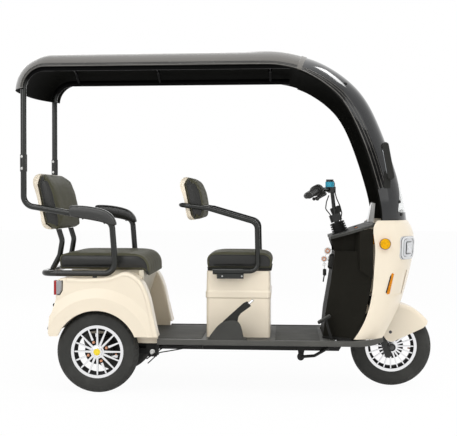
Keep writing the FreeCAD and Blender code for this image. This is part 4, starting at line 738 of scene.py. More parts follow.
def tyre_piece(name, body):
    """A tyre with its tread and the raised rings on its side walls, in place of the plain one."""
    low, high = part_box(name)
    centre = (low + high) / 2
    half, outer = (high.y - low.y) / 2, (high.z - low.z) / 2
    inner = outer * bead_share
    rows = []
    for k in range(tyre_steps):
        turn = 2 * math.pi * k / tyre_steps
        row = []
        for y, radius in tyre_profile(half, outer, inner):
            height = (radius - inner) / (outer - inner)
            if abs(y) <= half * crown_share and radius > outer - crown_drop - 0.001:
                radius -= tread_cut(abs(y) / half, math.copysign(1, y), turn)
            elif any(foot < height < top for foot, top in wall_rings):
                y *= wall_ring_swell
            row.append(centre + Vector((radius * math.cos(turn), y, radius * math.sin(turn))))
        rows.append(row)
    made = piece(name + "_tread", grid(rows, closed_rows=True), tyre_rubber, body, 50.0)
    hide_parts(name)


# Hubs: caps, nuts and valves
nut_circle = 0.052
nut_turns = (22.5, 112.5, 202.5, 292.5)
valve_turn = -8.0
valve_foot = 0.126
valve_tip = 0.094


def around(centre, radius, degrees, y):
    """A place on a circle about a wheel's axle."""
    a = math.radians(degrees)
    return Vector((centre.x + radius * math.cos(a), y, centre.z + radius * math.sin(a)))


def hub_dressing(name, body, side):
    """The cap with its plain yellow disc, four copper nuts and the valve."""
    centre, out = middle(name), LEFT * side
    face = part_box(name)[1 if side > 0 else 0].y
    start = Vector((centre.x, face, centre.z))
    cap = lathe([(-0.012, 0.0290), (0.0005, 0.0285), (0.0035, 0.0265), (0.0050, 0.0220), (0.0052, 0.0185),
                 (0.0040, 0.0178), (0.0040, 0.001)], start, out, 56)
    piece(name + "_cap", cap, chrome, body)
    disc = lathe([(0.0036, 0.0176), (0.0048, 0.0174), (0.0056, 0.0160), (0.0060, 0.0100), (0.0061, 0.0010)],
                 start, out, 48)
    piece(name + "_disc", disc, yellow_cap, body)
    nut = [(-0.001, 0.0085), (0.002, 0.0085), (0.003, 0.0072), (0.008, 0.0070), (0.009, 0.0060),
           (0.009, 0.0030), (0.012, 0.0028), (0.012, 0.0005)]
    places = [shot(name, around(centre, nut_circle, turn, face + side * 0.05), -out)[0] for turn in nut_turns]
    piece(name + "_nuts", merge([lathe(nut, place, out, 6) for place in places]), copper, body)
    valve_piece(name, centre, centre.y + side * 0.012, body)


def valve_piece(name, centre, y, body):
    """The valve's rubber stem and metal cap, pointing in from the rim's barrel."""
    foot = around(centre, valve_foot, valve_turn, y)
    inwards = around(centre, valve_tip, valve_turn, y) - foot
    stem = lathe([(0.0, 0.0062), (0.008, 0.0050), (0.018, 0.0042), (0.024, 0.0036)], foot, inwards, 16)
    cap = lathe([(0.023, 0.0042), (0.030, 0.0042), (0.032, 0.0034), (0.032, tip)], foot, inwards, 14)
    piece(name + "_valve", stem, boot_rubber, body)
    piece(name + "_valve_cap", cap, copper, body)


def wheels():
    for name, body in (("front_tyre", "front_wheel"), ("rear_left_tyre", "rear_left_wheel"),
                       ("rear_right_tyre", "rear_right_wheel")):
        tyre_piece(name, body)
    hub_dressing("rear_left_rim", "rear_left_wheel", 1)
    hub_dressing("rear_right_rim", "rear_right_wheel", -1)
    valve_piece("front_rim", middle("front_tyre"), 0.0, "front_wheel")
    nut = bolt(front_hub + RIGHT * 0.092, RIGHT, 0.008, 0.008)
    piece("front_axle_nuts", both(nut), dark_steel, "steering")


# Padded seats
pad_spacing = 0.0088
piping_radius = 0.0024
ring_steps = 6
panel_dome = 0.004
groove_width = 0.010
swell_steps = 16
stitch_pitch = 0.0060


def pad_lines(start, over, end, under):
    """The lines over and under a pad, from one end to the other, at the same number of steps."""
    top, foot = rounded_line([start] + over + [end]), rounded_line([start] + under + [end])
    count = round(run_length(top) / pad_spacing)
    return resampled(top, count), resampled(foot, count)


def loop_ways(loop):
    """The way out of a closed flat loop at each of its points."""
    area = sum(a.x * b.y - b.x * a.y for a, b in zip(loop, loop[1:] + loop[:1]))
    ways = []
    for before, after in zip(loop[-1:] + loop[:-1], loop[1:] + loop[:1]):
        heading = (after - before).normalized() * math.copysign(1, area)
        ways.append(Vector((heading.y, -heading.x)))
    return ways


def columns_across(half, seams):
    """Places across a pad, closer together at its sewn seams, and which of them are sewn."""
    stops = [-half] + seams + [half]
    places, sewn = [-half], []
    for low, high in zip(stops, stops[1:]):
        count = max(4, round((high - low) / (pad_spacing * 1.5)))
        for k in range(1, count + 1):
            share = k / count
            places.append(low + (high - low) * (share - 0.10 * math.sin(2 * math.pi * share)))
        sewn.append(len(places) - 1)
    return places, sewn[:-1]


class Pad:
    """A boxed pad: a wrap about a side outline, sewn to a panel on each side."""

    def __init__(self, over, under, half, edge, seams=(), groove=0.0, crown=0.0):
        self.loop = over + under[-2:0:-1]
        self.ways = loop_ways(self.loop)
        self.last = len(over) - 1
        self.half, self.edge, self.seams = half, edge, list(seams)
        self.groove, self.crown = groove, crown
        places, sewn = columns_across(half, self.seams)
        self.places = places
        self.width = len(places) + 2 * ring_steps
        self.sewn = [ring_steps + k for k in sewn]
        self.points, self.faces, self.slots = [], [], []
        for i in range(len(self.loop)):
            self.points += self.row(i)
        self.wrap()
        self.panel(0, -1)
        self.panel(self.width - 1, 1)

    def spot(self, i, offset, y):
        here, way = self.loop[i], self.ways[i]
        return Vector((here.x + way.x * offset, y, here.y + way.y * offset))

    def rise(self, i):
        """How far a row takes part in the crown and the grooves: nothing at the ends and underneath."""
        return math.sin(math.pi * i / self.last) ** 0.5 if 0 < i < self.last else 0.0

    def row(self, i):
        depth, reach = self.edge(self.ways[i])
        inner = self.half - reach
        ring = []
        for k in range(ring_steps):
            a = math.pi / 2 * (1 - k / ring_steps)
            ring.append((depth * (1 - math.cos(a)), inner + reach * math.sin(a)))
        middle_points = []
        for place in self.places:
            near = max([math.exp(-abs(place - seam) / groove_width) for seam in self.seams], default=0.0)
            lift = self.crown * (1 - (place / self.half) ** 2) - self.groove * near
            middle_points.append(self.spot(i, lift * self.rise(i), place * inner / self.half))
        left = [self.spot(i, -inset, -y) for inset, y in ring]
        right = [self.spot(i, -inset, y) for inset, y in reversed(ring)]
        return left + middle_points + right

    def wrap(self):
        rows = len(self.loop)
        for i in range(rows):
            a, b = i * self.width, ((i + 1) % rows) * self.width
            for j in range(self.width - 1):
                self.faces.append((a + j, b + j, b + j + 1, a + j + 1))
                self.slots.append(0)

    def panel(self, column, side):
        """A side panel of rungs between the lines over and under the pad, domed a little."""
        pairs = [(i * self.width + column, (len(self.loop) - i) * self.width + column)
                 for i in range(1, self.last)]
        longest = max((self.points[a] - self.points[b]).length for a, b in pairs)
        steps = min(12, max(4, round(longest / pad_spacing)))
        rungs = []
        for i, (a, b) in enumerate(pairs, 1):
            rung = [a]
            for k in range(1, steps):
                bulge = side * panel_dome * math.sin(math.pi * k / steps) * self.rise(i)
                self.points.append(self.points[a].lerp(self.points[b], k / steps) + LEFT * bulge)
                rung.append(len(self.points) - 1)
            rungs.append(rung + [b])
        for end, rung in ((column, rungs[0]), (self.last * self.width + column, rungs[-1])):
            for k in range(steps):
                self.add_panel_face((end, rung[k], rung[k + 1]))
        for upper, lower in zip(rungs, rungs[1:]):
            for k in range(steps):
                self.add_panel_face((upper[k], lower[k], lower[k + 1], upper[k + 1]))

    def add_panel_face(self, face):
        self.faces.append(face)
        self.slots.append(1)

    def held(self):
        """The points that the cloth keeps: the seams, the sewn grooves and all that rests on the board."""
        keep = set()
        for i in range(len(self.loop)):
            start = i * self.width
            keep.update((start, start + self.width - 1))
            if i >= self.last or i == 0:
                keep.update(range(start, start + self.width))
            else:
                keep.update(start + column for column in self.sewn)
        return sorted(keep)

    def line(self, made, column, rows):
        """The finished pad's points along a column."""
        return [made.data.vertices[i * self.width + column].co.copy() for i in rows]


def swell(made, held, pressure, cap):
    """Inflate the cloth between its seams, and keep no point further out than the cap."""
    rest = np.array([v.co for v in made.data.vertices])
    group = made.vertex_groups.new(name="held")
    group.add(held, 1.0, "REPLACE")
    cloth = made.modifiers.new("cloth", "CLOTH")
    settings = cloth.settings
    settings.vertex_group_mass = "held"
    settings.use_pressure = True
    settings.uniform_pressure_force = pressure
    settings.tension_stiffness = 25
    settings.compression_stiffness = 25
    settings.shear_stiffness = 10
    settings.bending_stiffness = 1.5
    settings.effector_weights.gravity = 0.0
    cloth.collision_settings.use_collision = False
    scene = bpy.context.scene
    for step in range(1, swell_steps + 1):
        scene.frame_set(step)
    result = made.evaluated_get(bpy.context.evaluated_depsgraph_get())
    shape = np.array([v.co for v in result.data.vertices])
    made.modifiers.remove(cloth)
    scene.frame_set(1)
    shift = shape - rest
    size = np.linalg.norm(shift, axis=1, keepdims=True)
    shift *= np.tanh(size / cap) * cap / np.maximum(size, 1e-9)
    made.data.vertices.foreach_set("co", (rest + shift).astype(np.float32).ravel())
    made.data.update()
    made.vertex_groups.clear()


def padded_piece(name, node, pad, body, pressure, cap):
    """The finished pad with its piping and stitches, in place of a CAD solid."""
    made = piece(name, (pad.points, pad.faces), [olive_leather, black_leather], body, 80.0)
    for polygon, slot in zip(made.data.polygons, pad.slots):
        polygon.material_index = slot
    swell(made, pad.held(), pressure, cap)
    seams = [pad.line(made, column, range(len(pad.loop))) for column in (0, pad.width - 1)]
    tubes = [sweep(seam, piping_radius, 8, closed=True) for seam in seams]
    piece(name + "_piping", merge(tubes), black_leather, body, 80.0)
    if pad.sewn:
        lines = [pad.line(made, column, range(2, pad.last - 1)) for column in pad.sewn]
        piece(name + "_stitches", stitches(lines), thread, body)
    smooth = made.modifiers.new("subdivision", "SUBSURF")
    smooth.levels = smooth.render_levels = 1
    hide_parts(node)


def stitches(lines):
    """Short thread stitches along each sewn line."""
    parts = []
    for line in lines:
        spots = resampled(line, round(run_length(line) / stitch_pitch))
        for a, b in zip(spots, spots[1:]):
            way = (b - a).cross(LEFT).normalized()
            way = way if way.z + way.x > 0 else -way
            start, end = a.lerp(b, 0.18) + way * 0.0008, a.lerp(b, 0.82) + way * 0.0008
            parts.append(sweep([start, start.lerp(end, 0.5) + way * 0.0005, end], 0.0007, 5))
    return merge(parts)


def cushion_edge(_):
    """The inset and reach of a cushion's rounded side edge, the same all round."""
    return 0.012, 0.014


def back_edge(way):
    """The inset and reach of a back pad's edge: small at its sides, wide shoulders at its top and foot."""
    share = min(1.0, max(0.0, (abs(way.y) - 0.35) / 0.6))
    share = share * share * (3 - 2 * share)
    high = share if way.y > 0 else share * 0.5
    return 0.009 + 0.040 * high, 0.010 + 0.085 * high


def driver_cushion():
    low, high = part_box("driver_cushion")
    over, under = pad_lines(
        (low.x + 0.002, low.z + 0.040),
        [(low.x, high.z - 0.002, 0.042), (high.x - 0.001, high.z - 0.004, 0.048)],
        (high.x, low.z + 0.045),
        [(low.x + 0.006, low.z + 0.013, 0.010), (high.x - 0.006, low.z + 0.013, 0.010)])
    pad = Pad(over, under, high.y, cushion_edge, (-0.068, 0.068), 0.0030, 0.003)
    padded_piece("driver_cushion_cover", "driver_cushion", pad, "driver_seat_lid", 4.0, 0.008)
    outline = rounded_square((high.x - low.x) / 2 - 0.003, high.y - 0.002, 0.030, 6)
    place = plane(Vector(((low.x + high.x) / 2, 0, low.z + 0.0005)), AHEAD, LEFT, UP)
    rim = sweep([place(u, v, 0.0145) for u, v in outline], 0.0022, 8, closed=True)
    pan = merge([slab(outline, place, 0.0135), rim])
    piece("driver_cushion_pan", pan, black_plastic, "driver_seat_lid")


def rear_cushion():
    x, z = rear_hub.x, bench_base
    over, under = pad_lines(
        (x - 0.218, z + 0.034),
        [(x - 0.222, z + 0.086, 0.030), (x + 0.262, z + 0.086, 0.080)],
        (x + 0.263, z - 0.030),
        [(x - 0.214, z + 0.003, 0.012), (x + 0.236, z + 0.003, 0.030), (x + 0.252, z - 0.026, 0.006)])
    seams = [-0.206, -0.103, 0.0, 0.103, 0.206]
    pad = Pad(over, under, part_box("rear_cushion")[1].y, cushion_edge, seams, 0.0035, 0.0)
    padded_piece("rear_cushion_cover", "rear_cushion", pad, "bench_lid", 4.0, 0.009)


def rear_back_pad():
    x, z = rear_hub.x - 0.290, bench_base
    over, under = pad_lines(
        (x + 0.045, z + 0.213),
        [(x + 0.068, z + 0.222, 0.018), (x + 0.070, z + 0.270, 0.05), (x + 0.058, z + 0.330, 0.2),
         (x + 0.040, z + 0.410, 0.2), (x + 0.008, z + 0.490, 0.06)],
        (x - 0.024, z + 0.511),
        [(x + 0.024, z + 0.220, 0.010), (x + 0.001, z + 0.243, 0.02), (x - 0.013, z + 0.300, 0.2),
         (x - 0.027, z + 0.380, 0.3), (x - 0.043, z + 0.450, 0.05), (x - 0.034, z + 0.494, 0.015)])
    pad = Pad(over, under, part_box("rear_back_pad")[1].y, back_edge)
    padded_piece("rear_back_cover", "rear_back_pad", pad, "root", 3.0, 0.007)


def driver_back_pad():
    x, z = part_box("driver_seat_box")[0].x - 0.132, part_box("driver_seat_box")[1].z
    over, under = pad_lines(
        (x + 0.067, z + 0.275),
        [(x + 0.112, z + 0.280, 0.016), (x + 0.120, z + 0.320, 0.05), (x + 0.116, z + 0.370, 0.2),
         (x + 0.104, z + 0.430, 0.12), (x + 0.078, z + 0.484, 0.04), (x + 0.048, z + 0.501, 0.02)],
        (x + 0.034, z + 0.498),
        [(x + 0.060, z + 0.296, 0.01), (x + 0.044, z + 0.350, 0.1), (x + 0.032, z + 0.410, 0.1),
         (x + 0.020, z + 0.462, 0.02)])
    pad = Pad(over, under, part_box("driver_back_pad")[1].y, back_edge)
    padded_piece("driver_back_cover", "driver_back_pad", pad, "root", 3.0, 0.006)


# Arm pads: pairs of places on the top and the foot of the pad, from its rear end forward and down
arm_pad_pairs = (
    ((0.001, 0.017), (0.003, 0.042)), ((0.010, 0.002), (0.010, 0.057)), ((0.050, 0.000), (0.050, 0.066)),
    ((0.110, 0.005), (0.110, 0.076)), ((0.166, 0.016), (0.162, 0.086)), ((0.198, 0.027), (0.184, 0.092)),
    ((0.222, 0.043), (0.201, 0.098)), ((0.241, 0.066), (0.218, 0.103)), ((0.250, 0.088), (0.231, 0.105)),
    ((0.252, 0.100), (0.240, 0.106)))


def arm_pads():
    """Foam pads moulded over the front of the bench's arm tubes, wide and flat on top."""
    low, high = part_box("rear_arm_pads")
    half = 0.025
    tops, feet = [smooth_path([(low.x + pair[end][0], low.y + half, high.z - pair[end][1])
                               for pair in arm_pad_pairs], 5) for end in (0, 1)]
    rings = []
    for k, (top, foot) in enumerate(zip(tops, feet)):
        share = k / (len(tops) - 1)
        taper = min(1.0, (0.35 + share * 9) ** 0.5, (0.30 + (1 - share) * 5) ** 0.5)
        centre, lift = (top + foot) / 2, (top - foot) / 2
        ring = []
        for s in range(32):
            a = 2 * math.pi * s / 32
            u = math.copysign(abs(math.cos(a)) ** 0.7, math.cos(a))
            v = math.copysign(abs(math.sin(a)) ** 0.7, math.sin(a))
            narrow = 1.0 if v > 0 else 1.0 + 0.22 * v
            ring.append(centre + LEFT * (u * half * taper * narrow) + lift * v)
        rings.append(ring)
    made = piece("arm_pad_covers", both(capped(rings)), foam_rubber, sharp=60.0)
    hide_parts("rear_arm_pads")
    screws = [screw(feet[k] + UP * 0.002, -UP, 0.0045, 0.006) for k in (12, 26)]
    piece("arm_pad_screws", both(*screws), dark_steel)


def seats():
    driver_cushion()
    rear_cushion()
    rear_back_pad()
    driver_back_pad()
    arm_pads()


# The roof's stations: a place on its crown, the way out of it there, and the arch across it
roof_drop = 0.108
crown_power = 3.2
rear_bend = 0.221
front_bend = 0.655
rear_bend_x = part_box("roof_shell")[0].x + rear_bend
front_bend_x = front_hub.x - 0.680
band_turn = 19.0
frame_turn = 50.0
screen_turn = math.radians(51.0)
screen_base = ahead(0.075, 0, 0.627)
lip_lift = 0.0010


def station(x, z, degrees, half=roof_half, drop=roof_drop, power=crown_power):
    a = math.radians(degrees)
    return Vector((x, 0, z)), Vector((math.sin(a), 0, math.cos(a))), half, drop, power


def bend_station(centre_x, radius, degrees, **arch):
    a = math.radians(degrees)
    return station(centre_x + radius * math.sin(a), roof_top - radius * (1 - math.cos(a)), degrees, **arch)


def on_arch(place, s, lift=0.0):
    """The place at a share of the half width from the crown, on a station's arch."""
    origin, way, half, drop, power = place
    return origin + way * (lift - drop * abs(s) ** power) + LEFT * (half * s)


def roof_stations():
    """Stations from the roof's rear foot to the screen's base."""
    length = front_bend_x - rear_bend_x
    stations = [bend_station(rear_bend_x, rear_bend, turn) for turn in range(-84, 1, 7)]
    stations += [station(rear_bend_x + length * k / 10, roof_top, 0.0) for k in range(1, 10)]
    stations += [bend_station(front_bend_x, front_bend, turn) for turn in (0, 5, 10, 15)]
    for share, power in ((0.0, crown_power), (0.33, 4.2), (0.66, 5.2), (1.0, 6.2)):
        turn = band_turn + share * (frame_turn - band_turn)
        stations.append(bend_station(front_bend_x, front_bend, turn, half=roof_half - 0.060 * share,
                                     drop=roof_drop + 0.010 * share, power=power))
    head = Vector((front_bend_x + front_bend * math.sin(screen_turn), 0,
                   roof_top - front_bend * (1 - math.cos(screen_turn))))
    for share, turn, half, drop, power in ((0.35, 62, 0.384, 0.124, 6.4), (0.7, 69, 0.366, 0.134, 6.0)):
        bulge = 0.030 * math.sin(math.pi * share)
        here = head.lerp(screen_base, share)
        stations.append(station(here.x + bulge, here.z + bulge * 0.4, turn, half, drop, power))
    return stations


def outer_skin(place):
    """The nearest place on the roof or the front frame."""
    found = [nearest(name, place) for name in ("roof_shell", "front_frame")]
    return min(found, key=lambda pair: (pair[0] - place).length)


def eased(line):
    """A line with its small steps smoothed out."""
    for _ in range(3):
        inner = [(a + b * 2 + c) / 4 for a, b, c in zip(line, line[1:], line[2:])]
        line = line[:1] + inner + line[-1:]
    return line


def lip_line(s):
    """Points along the right side lip, from the roof's rear foot to the frame's foot, and the ways out."""
    places = smooth_path([on_arch(place, -s) for place in roof_stations()], 4)
    points, ways = zip(*[outer_skin(place) for place in places])
    return eased(list(points)), eased(list(ways))


def roof_mouldings():
    """Three fine mouldings along the roof's side lips, down to the front frame's feet."""
    parts = []
    for s, wire in ((0.990, 0.0028), (0.965, 0.0016), (0.940, 0.0016)):
        parts.append(sweep([point + way * lip_lift for point, way in zip(*lip_line(s))], wire, 8))
    piece("roof_mouldings", both(*parts), lip_gloss)


def lip_bands():
    """The black bands along the roof's side lips that carry the mouldings."""
    columns = [lip_line(s) for s in (0.928, 0.940, 0.952, 0.964, 0.976, 0.988, 0.998)]
    rows = []
    for k in range(len(columns[0][0])):
        upper = [points[k] + ways[k] * lip_lift for points, ways in columns]
        lower = [points[k] - ways[k] * lip_lift for points, ways in columns]
        rows.append(upper + lower[::-1])
    piece("roof_lip_bands", both(capped(rows)), liner_black, sharp=60.0)


def joint_band():
    """The raised band over the joint of the roof and the front frame."""
    rows = []
    edges = ((-1.7, -0.0005), (-1.7, 0.0026), (-1.6, 0.0036), (0.7, 0.0036), (0.8, 0.0026), (0.8, -0.0005))
    for k in range(-26, 27):
        s = math.sin(math.pi / 2 * k / 26) * 0.998
        rows.append([on_arch(bend_station(front_bend_x, front_bend, band_turn + turn), s, lift)
                     for turn, lift in edges])
    piece("roof_joint_band", capped(rows), band_gloss)


screw_row = -roof_half - 0.01
clip_places = ((0.0254, -0.250, 0.7168), (0.0262, -0.250, 0.6577), (-0.2571, -0.350, 1.3402))


def roof_parts():
    lip_bands()
    roof_mouldings()
    joint_band()
    screws = [screw(*nearest("roof_shell", behind(x, screw_row, 1.0965)), 0.0042, 0.0025)
              for x in (-0.186, 0.442)]
    piece("roof_screws", both(*screws), dark_steel)
    clips = [plug(*nearest("front_frame", ahead(*place)), 0.009, 0.007) for place in clip_places]
    piece("screen_clips", both(*clips), black_plastic)


# Bolts of the rear frame, the driver's seat and the trailing arms
post_y = 0.392
sleeve_reach = 0.0188
sleeve_bolt_heights = (1.2386, 1.1762)
bracket_y = -0.2639
bracket_height = 0.607
bracket_screws_x = (0.0051, 0.1089)


def rear_frame_bolts():
    """Bolts through the two sleeves of the posts and the side brackets, and the arms' pivot bolts."""
    parts = []
    post_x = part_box("rear_arm_frame")[0].x + 0.019
    head = Vector((-0.30, -0.95, 0)).normalized()
    for side in (-1, 1):
        for z in sleeve_bolt_heights:
            axis = Vector((post_x, side * post_y, z))
            parts.append(bolt(axis + head * sleeve_reach, head, 0.0048, 0.0035))
            parts.append(bolt(axis - head * sleeve_reach, -head, 0.0046, 0.0035))
    piece("sleeve_bolts", merge(parts), zinc)
    plates = [screw((x, bracket_y, bracket_height), RIGHT, 0.0045, 0.003) for x in bracket_screws_x]
    piece("seat_bracket_screws", both(*plates), zinc)
    pivot = behind(0.278, -0.284, -0.437)
    washer = lathe([(-0.001, 0.0150), (0.0016, 0.0150), (0.0020, 0.0142), (0.0020, 0.0080)], pivot, RIGHT, 40)
    piece("arm_pivot_bolts", both(washer, bolt(pivot + RIGHT * 0.002, RIGHT, 0.0075, 0.006)), zinc)


# Lamps
headlamp_turn = math.radians(30)
headlamp_out = Vector((math.cos(headlamp_turn), -math.sin(headlamp_turn), 0))
headlamp_across = Vector((math.sin(headlamp_turn), math.cos(headlamp_turn), 0))
headlamp_centre = ahead(0.072, -0.238, 0.483)
outside = 0.2


def on_headlamp(u, v, height):
    """A point over the slanted face of the right headlamp."""
    start = headlamp_centre + headlamp_across * u + UP * v + headlamp_out * outside
    point, _ = shot("headlamps", start, -headlamp_out)
    return point + headlamp_out * height


def headlamp_ring(outline, section):
    """A ring on the headlamp's face; the section is (share of the outline, height) pairs."""
    rows = [[on_headlamp(u * share, v * share, height) for share, height in section] for u, v in outline]
    return grid(rows, closed_rows=True, closed_columns=True)


def headlamp_parts():
    """Silver bezels, dark gaps, lenses and brackets on the slanted faces of the headlamps."""
    outline = rounded_square(0.0785, 0.0585, 0.028, 10)
    inner = rounded_square(0.062, 0.0460, 0.020, 8)
    bezel = headlamp_ring(outline, ((0.985, -0.001), (0.980, 0.003), (0.94, 0.0052), (0.86, 0.0052),
                                    (0.81, 0.0025), (0.79, -0.001)))
    piece("headlamp_bezels", both(bezel), clear_plastic)
    gaps = [headlamp_ring(line, ((1.0, -0.001), (1.0, height), (share, height), (share, -0.001)))
            for line, share, height in ((outline, 0.985, 0.0022), (inner, 0.965, 0.0014))]
    piece("headlamp_gaps", both(*gaps), dark_glass)
    steps = [k / 5 - 1 for k in range(11)]
    panel = [[on_headlamp(u * 0.030, v * 0.026, 0.0022 * (1 - max(abs(u), abs(v)) ** 6)) for v in steps]
             for u in steps]
    piece("headlamp_lenses", both(grid(panel)), clear_lens)
    upper = [(0.020, 0.031), (-0.010, 0.031), (-0.030, 0.031), (-0.035, 0.027)]
    bracket = upper + [(-0.035, 0.0)] + [(u, -v) for u, v in reversed(upper)]
    line = [on_headlamp(u, v, 0.001) for u, v in bracket]
    piece("headlamp_brackets", both(sweep(line, 0.0030, 8)), dark_glass)


def round_lamp_parts():
    """Domed amber lenses in thin rims on the round side lamps."""
    place, out = ahead(-0.060, -0.3552, 0.506), Vector((0.16, -1.0, 0)).normalized()
    dome = lathe([(-0.004, 0.0268), (0.0005, 0.0268), (0.0020, 0.0258), (0.0034, 0.0215), (0.0044, 0.0120),
                  (0.0048, tip)], place, out, 40)
    piece("side_lamp_lenses", both(dome), amber_lens)
    rim = hoop(0.0278, 0.0014, place + out * 0.0005, out, 48, 8)
    piece("side_lamp_rims", both(rim), dark_steel)


def traced(node, corners, steps):
    """The line through corners, thrown onto a node from its right, with some steps in each span."""
    line = []
    for a, b, count in zip(corners, corners[1:], steps):
        line += [shot(node, a.lerp(b, k / count), LEFT)[0] for k in range(count)]
    return line


def turn_lamp_parts():
    """Dark rims round the slanted turn lamps."""
    corners = [ahead(x, -0.5, z) for x, z in ((-0.027, 0.350), (-0.0200, 0.3555), (-0.0105, 0.350),
                                              (-0.0330, 0.2475), (-0.0460, 0.2435), (-0.0540, 0.252))]
    line = traced("signal_lamps", corners + corners[:1], (3, 3, 10, 3, 3, 10))
    rim = sweep([point + RIGHT * 0.0015 for point in line], 0.0030, 8, closed=True)
    piece("turn_lamp_rims", both(rim), liner_black)


tail_start = -1.3


def tail_parts():
    """Bezels round the tail lamps, and the rubber stops and reflectors on the tail."""
    low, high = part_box("tail_lamps")
    rear, front, top = low.x + 0.004, high.x + 0.004, rear_hub.z + 0.374
    rim = [(rear, top), (front, top), (front - 0.002, top - 0.052), (front - 0.015, top - 0.073),
           (rear, top - 0.075)]
    line = traced("rear_body", [Vector((x, -0.6, z)) for x, z in rim], (8, 8, 8, 8))
    piece("tail_lamp_rims", both(sweep(line, 0.0026, 8)), liner_black)
    stops = [plug(shot("rear_body", (tail_start, -0.400, z), AHEAD)[0], -AHEAD, radius, 0.012)
             for z, radius in ((0.459, 0.011), (0.336, 0.013))]
    piece("tail_stops", both(*stops), boot_rubber)
    spot, _ = shot("rear_body", (tail_start, -0.333, 0.50), AHEAD)
    disc = lathe([(-0.003, 0.026), (0.003, 0.026), (0.005, 0.024), (0.0055, tip)], spot, -AHEAD, 40)
    piece("tail_reflectors", both(disc), red_lens)


# Nose, dash and controls
def mirror_parts():
    """The glass on the rear faces of the mirror heads."""
    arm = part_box("mirrors")[0].y + 0.044
    centre, run, out = slope(ahead(-0.041, arm, 0.852), ahead(-0.070, arm, 1.008))
    face = plane(centre + out * 0.0168, LEFT, run, out)
    glass = slab(rounded_square(0.036, 0.070, 0.022, 6), face, 0.0016, 0.0006)
    piece("mirror_glasses", both(glass), mirror_glass)


over_dash = 0.70
switch_places = (0.070, 0.115, 0.160)


def display_parts():
    """The instrument's dark glass facing the driver, and the red button and switches on the dash."""
    centre, run, out = slope(ahead(-0.124, 0, 0.6143), ahead(-0.104, 0, 0.718))
    face = plane(centre - out * 0.0005, LEFT, run, out)
    glass = slab(rounded_square(0.052, 0.043, 0.010), face, 0.0020)
    piece("display_glass", glass, dark_glass)
    point, normal = shot("dash_panel", ahead(-0.192, -0.100, over_dash), -UP)
    button = lathe([(-0.001, 0.0085), (0.003, 0.0085), (0.0045, 0.0072), (0.005, tip)], point, normal, 28)
    piece("dash_button", button, fob_orange)
    rim = hoop(0.0092, 0.0014, point + normal * 0.0008, normal, 28, 8)
    piece("dash_button_rim", rim, black_plastic)
    switches = [plug(*shot("dash_panel", ahead(-0.185, y, over_dash), -UP), 0.009, 0.005)
                for y in switch_places]
    piece("dash_switches", merge(switches), black_plastic)


lock_y = -0.080
fob_y = lock_y - 0.010
high_fob = Vector((0.5655, fob_y, 0.7359))
low_fob = Vector((0.5468, fob_y, 0.6924))
key_head = Vector((0.5496, fob_y, 0.6203))
key_tip = Vector((0.5422, fob_y, 0.5676))
link_radius = 0.0013


def lock_parts():
    """The ignition lock's housing on the leg shield, with its key ring and two round fobs."""
    lower, upper = [shot("inner_shield", (0.3, lock_y, z), AHEAD)[0] for z in (0.640, 0.715)]
    centre, run, out = slope(lower, upper)
    face = plane(centre - out * 0.004, LEFT, run, out)
    housing = slab(rounded_square(0.024, 0.041, 0.016, 6), face, 0.026, 0.007)
    piece("lock_housing", housing, black_plastic)
    barrel = lathe([(0.018, 0.0125), (0.026, 0.0125), (0.028, 0.0110), (0.028, tip)],
                   centre + run * 0.012, out, 28)
    piece("lock_barrel", barrel, zinc)
    disc = [(-0.0018, tip), (-0.0018, 0.0172), (-0.0008, 0.0185), (0.0008, 0.0185), (0.0018, 0.0172),
            (0.0018, tip)]
    fobs = [lathe([(along, radius * scale) for along, radius in disc], fob, RIGHT, 36)
            for fob, scale in ((high_fob, 1.0), (low_fob, 0.86))]
    piece("key_fobs", merge(fobs), fob_white)
    rings = [hoop(radius, wire, fob + RIGHT * 0.0014, RIGHT, 36, 8)
             for fob, radius, wire in ((high_fob, 0.0100, 0.0026), (low_fob, 0.0088, 0.0025))]
    piece("key_fob_rings", merge(rings), fob_orange)
    hook = [centre + run * 0.046 - out * 0.006, centre + run * 0.060 + out * 0.006,
            high_fob + Vector((0.004, 0.010, 0.012)), high_fob + UP * 0.014]
    link = [high_fob - UP * 0.013, high_fob.lerp(low_fob, 0.5), low_fob + UP * 0.012]
    drop = [low_fob - UP * 0.011, low_fob.lerp(key_head, 0.55), key_head + UP * 0.018]
    wires = [sweep(smooth_path(line, 6), link_radius, 8) for line in (hook, link, drop)]
    wires.append(hoop(0.0085, 0.0011, low_fob.lerp(key_head, 0.42), RIGHT, 28, 8))
    piece("key_links", merge(wires), zinc)
    blade = sweep([key_head - UP * 0.010, key_head.lerp(key_tip, 0.6), key_tip], 0.0034, 8,
                  lambda a: (math.cos(a), math.sin(a) * 0.4))
    head = slab(rounded_square(0.0095, 0.0185, 0.006, 4), plane(key_head, AHEAD, UP, RIGHT), 0.006, 0.0015)
    piece("key_head", merge([head, blade]), black_plastic)


def shield_parts():
    """Dark strips under the leg shield's foot, standing in for the shade in the gap over the deck, and the
    front mudguard's side screws.
    """
    # Painted shade: dark rubber strips fill the gap between the shield's foot and the deck.
    foot = [ahead(x, y, 0.0045) for x, y in ((-0.371, -0.204), (-0.314, -0.246), (-0.270, -0.289),
                                             (-0.226, -0.331))]
    piece("shield_foot_shade_strips", both(sweep(foot, 0.0085, 10)), boot_rubber)
    point, _ = shot("front_fender", (0.902, -0.3, 0.300), LEFT)
    piece("fender_screws", both(plug(point, RIGHT, 0.0085, 0.004)), dark_steel, "steering")


grip_end = ahead(-0.449, -0.345, 0.757)
grip_run = (ahead(-0.394, -0.200, 0.790) - grip_end).normalized()
grip_rings = 12
grip_pitch = 0.008


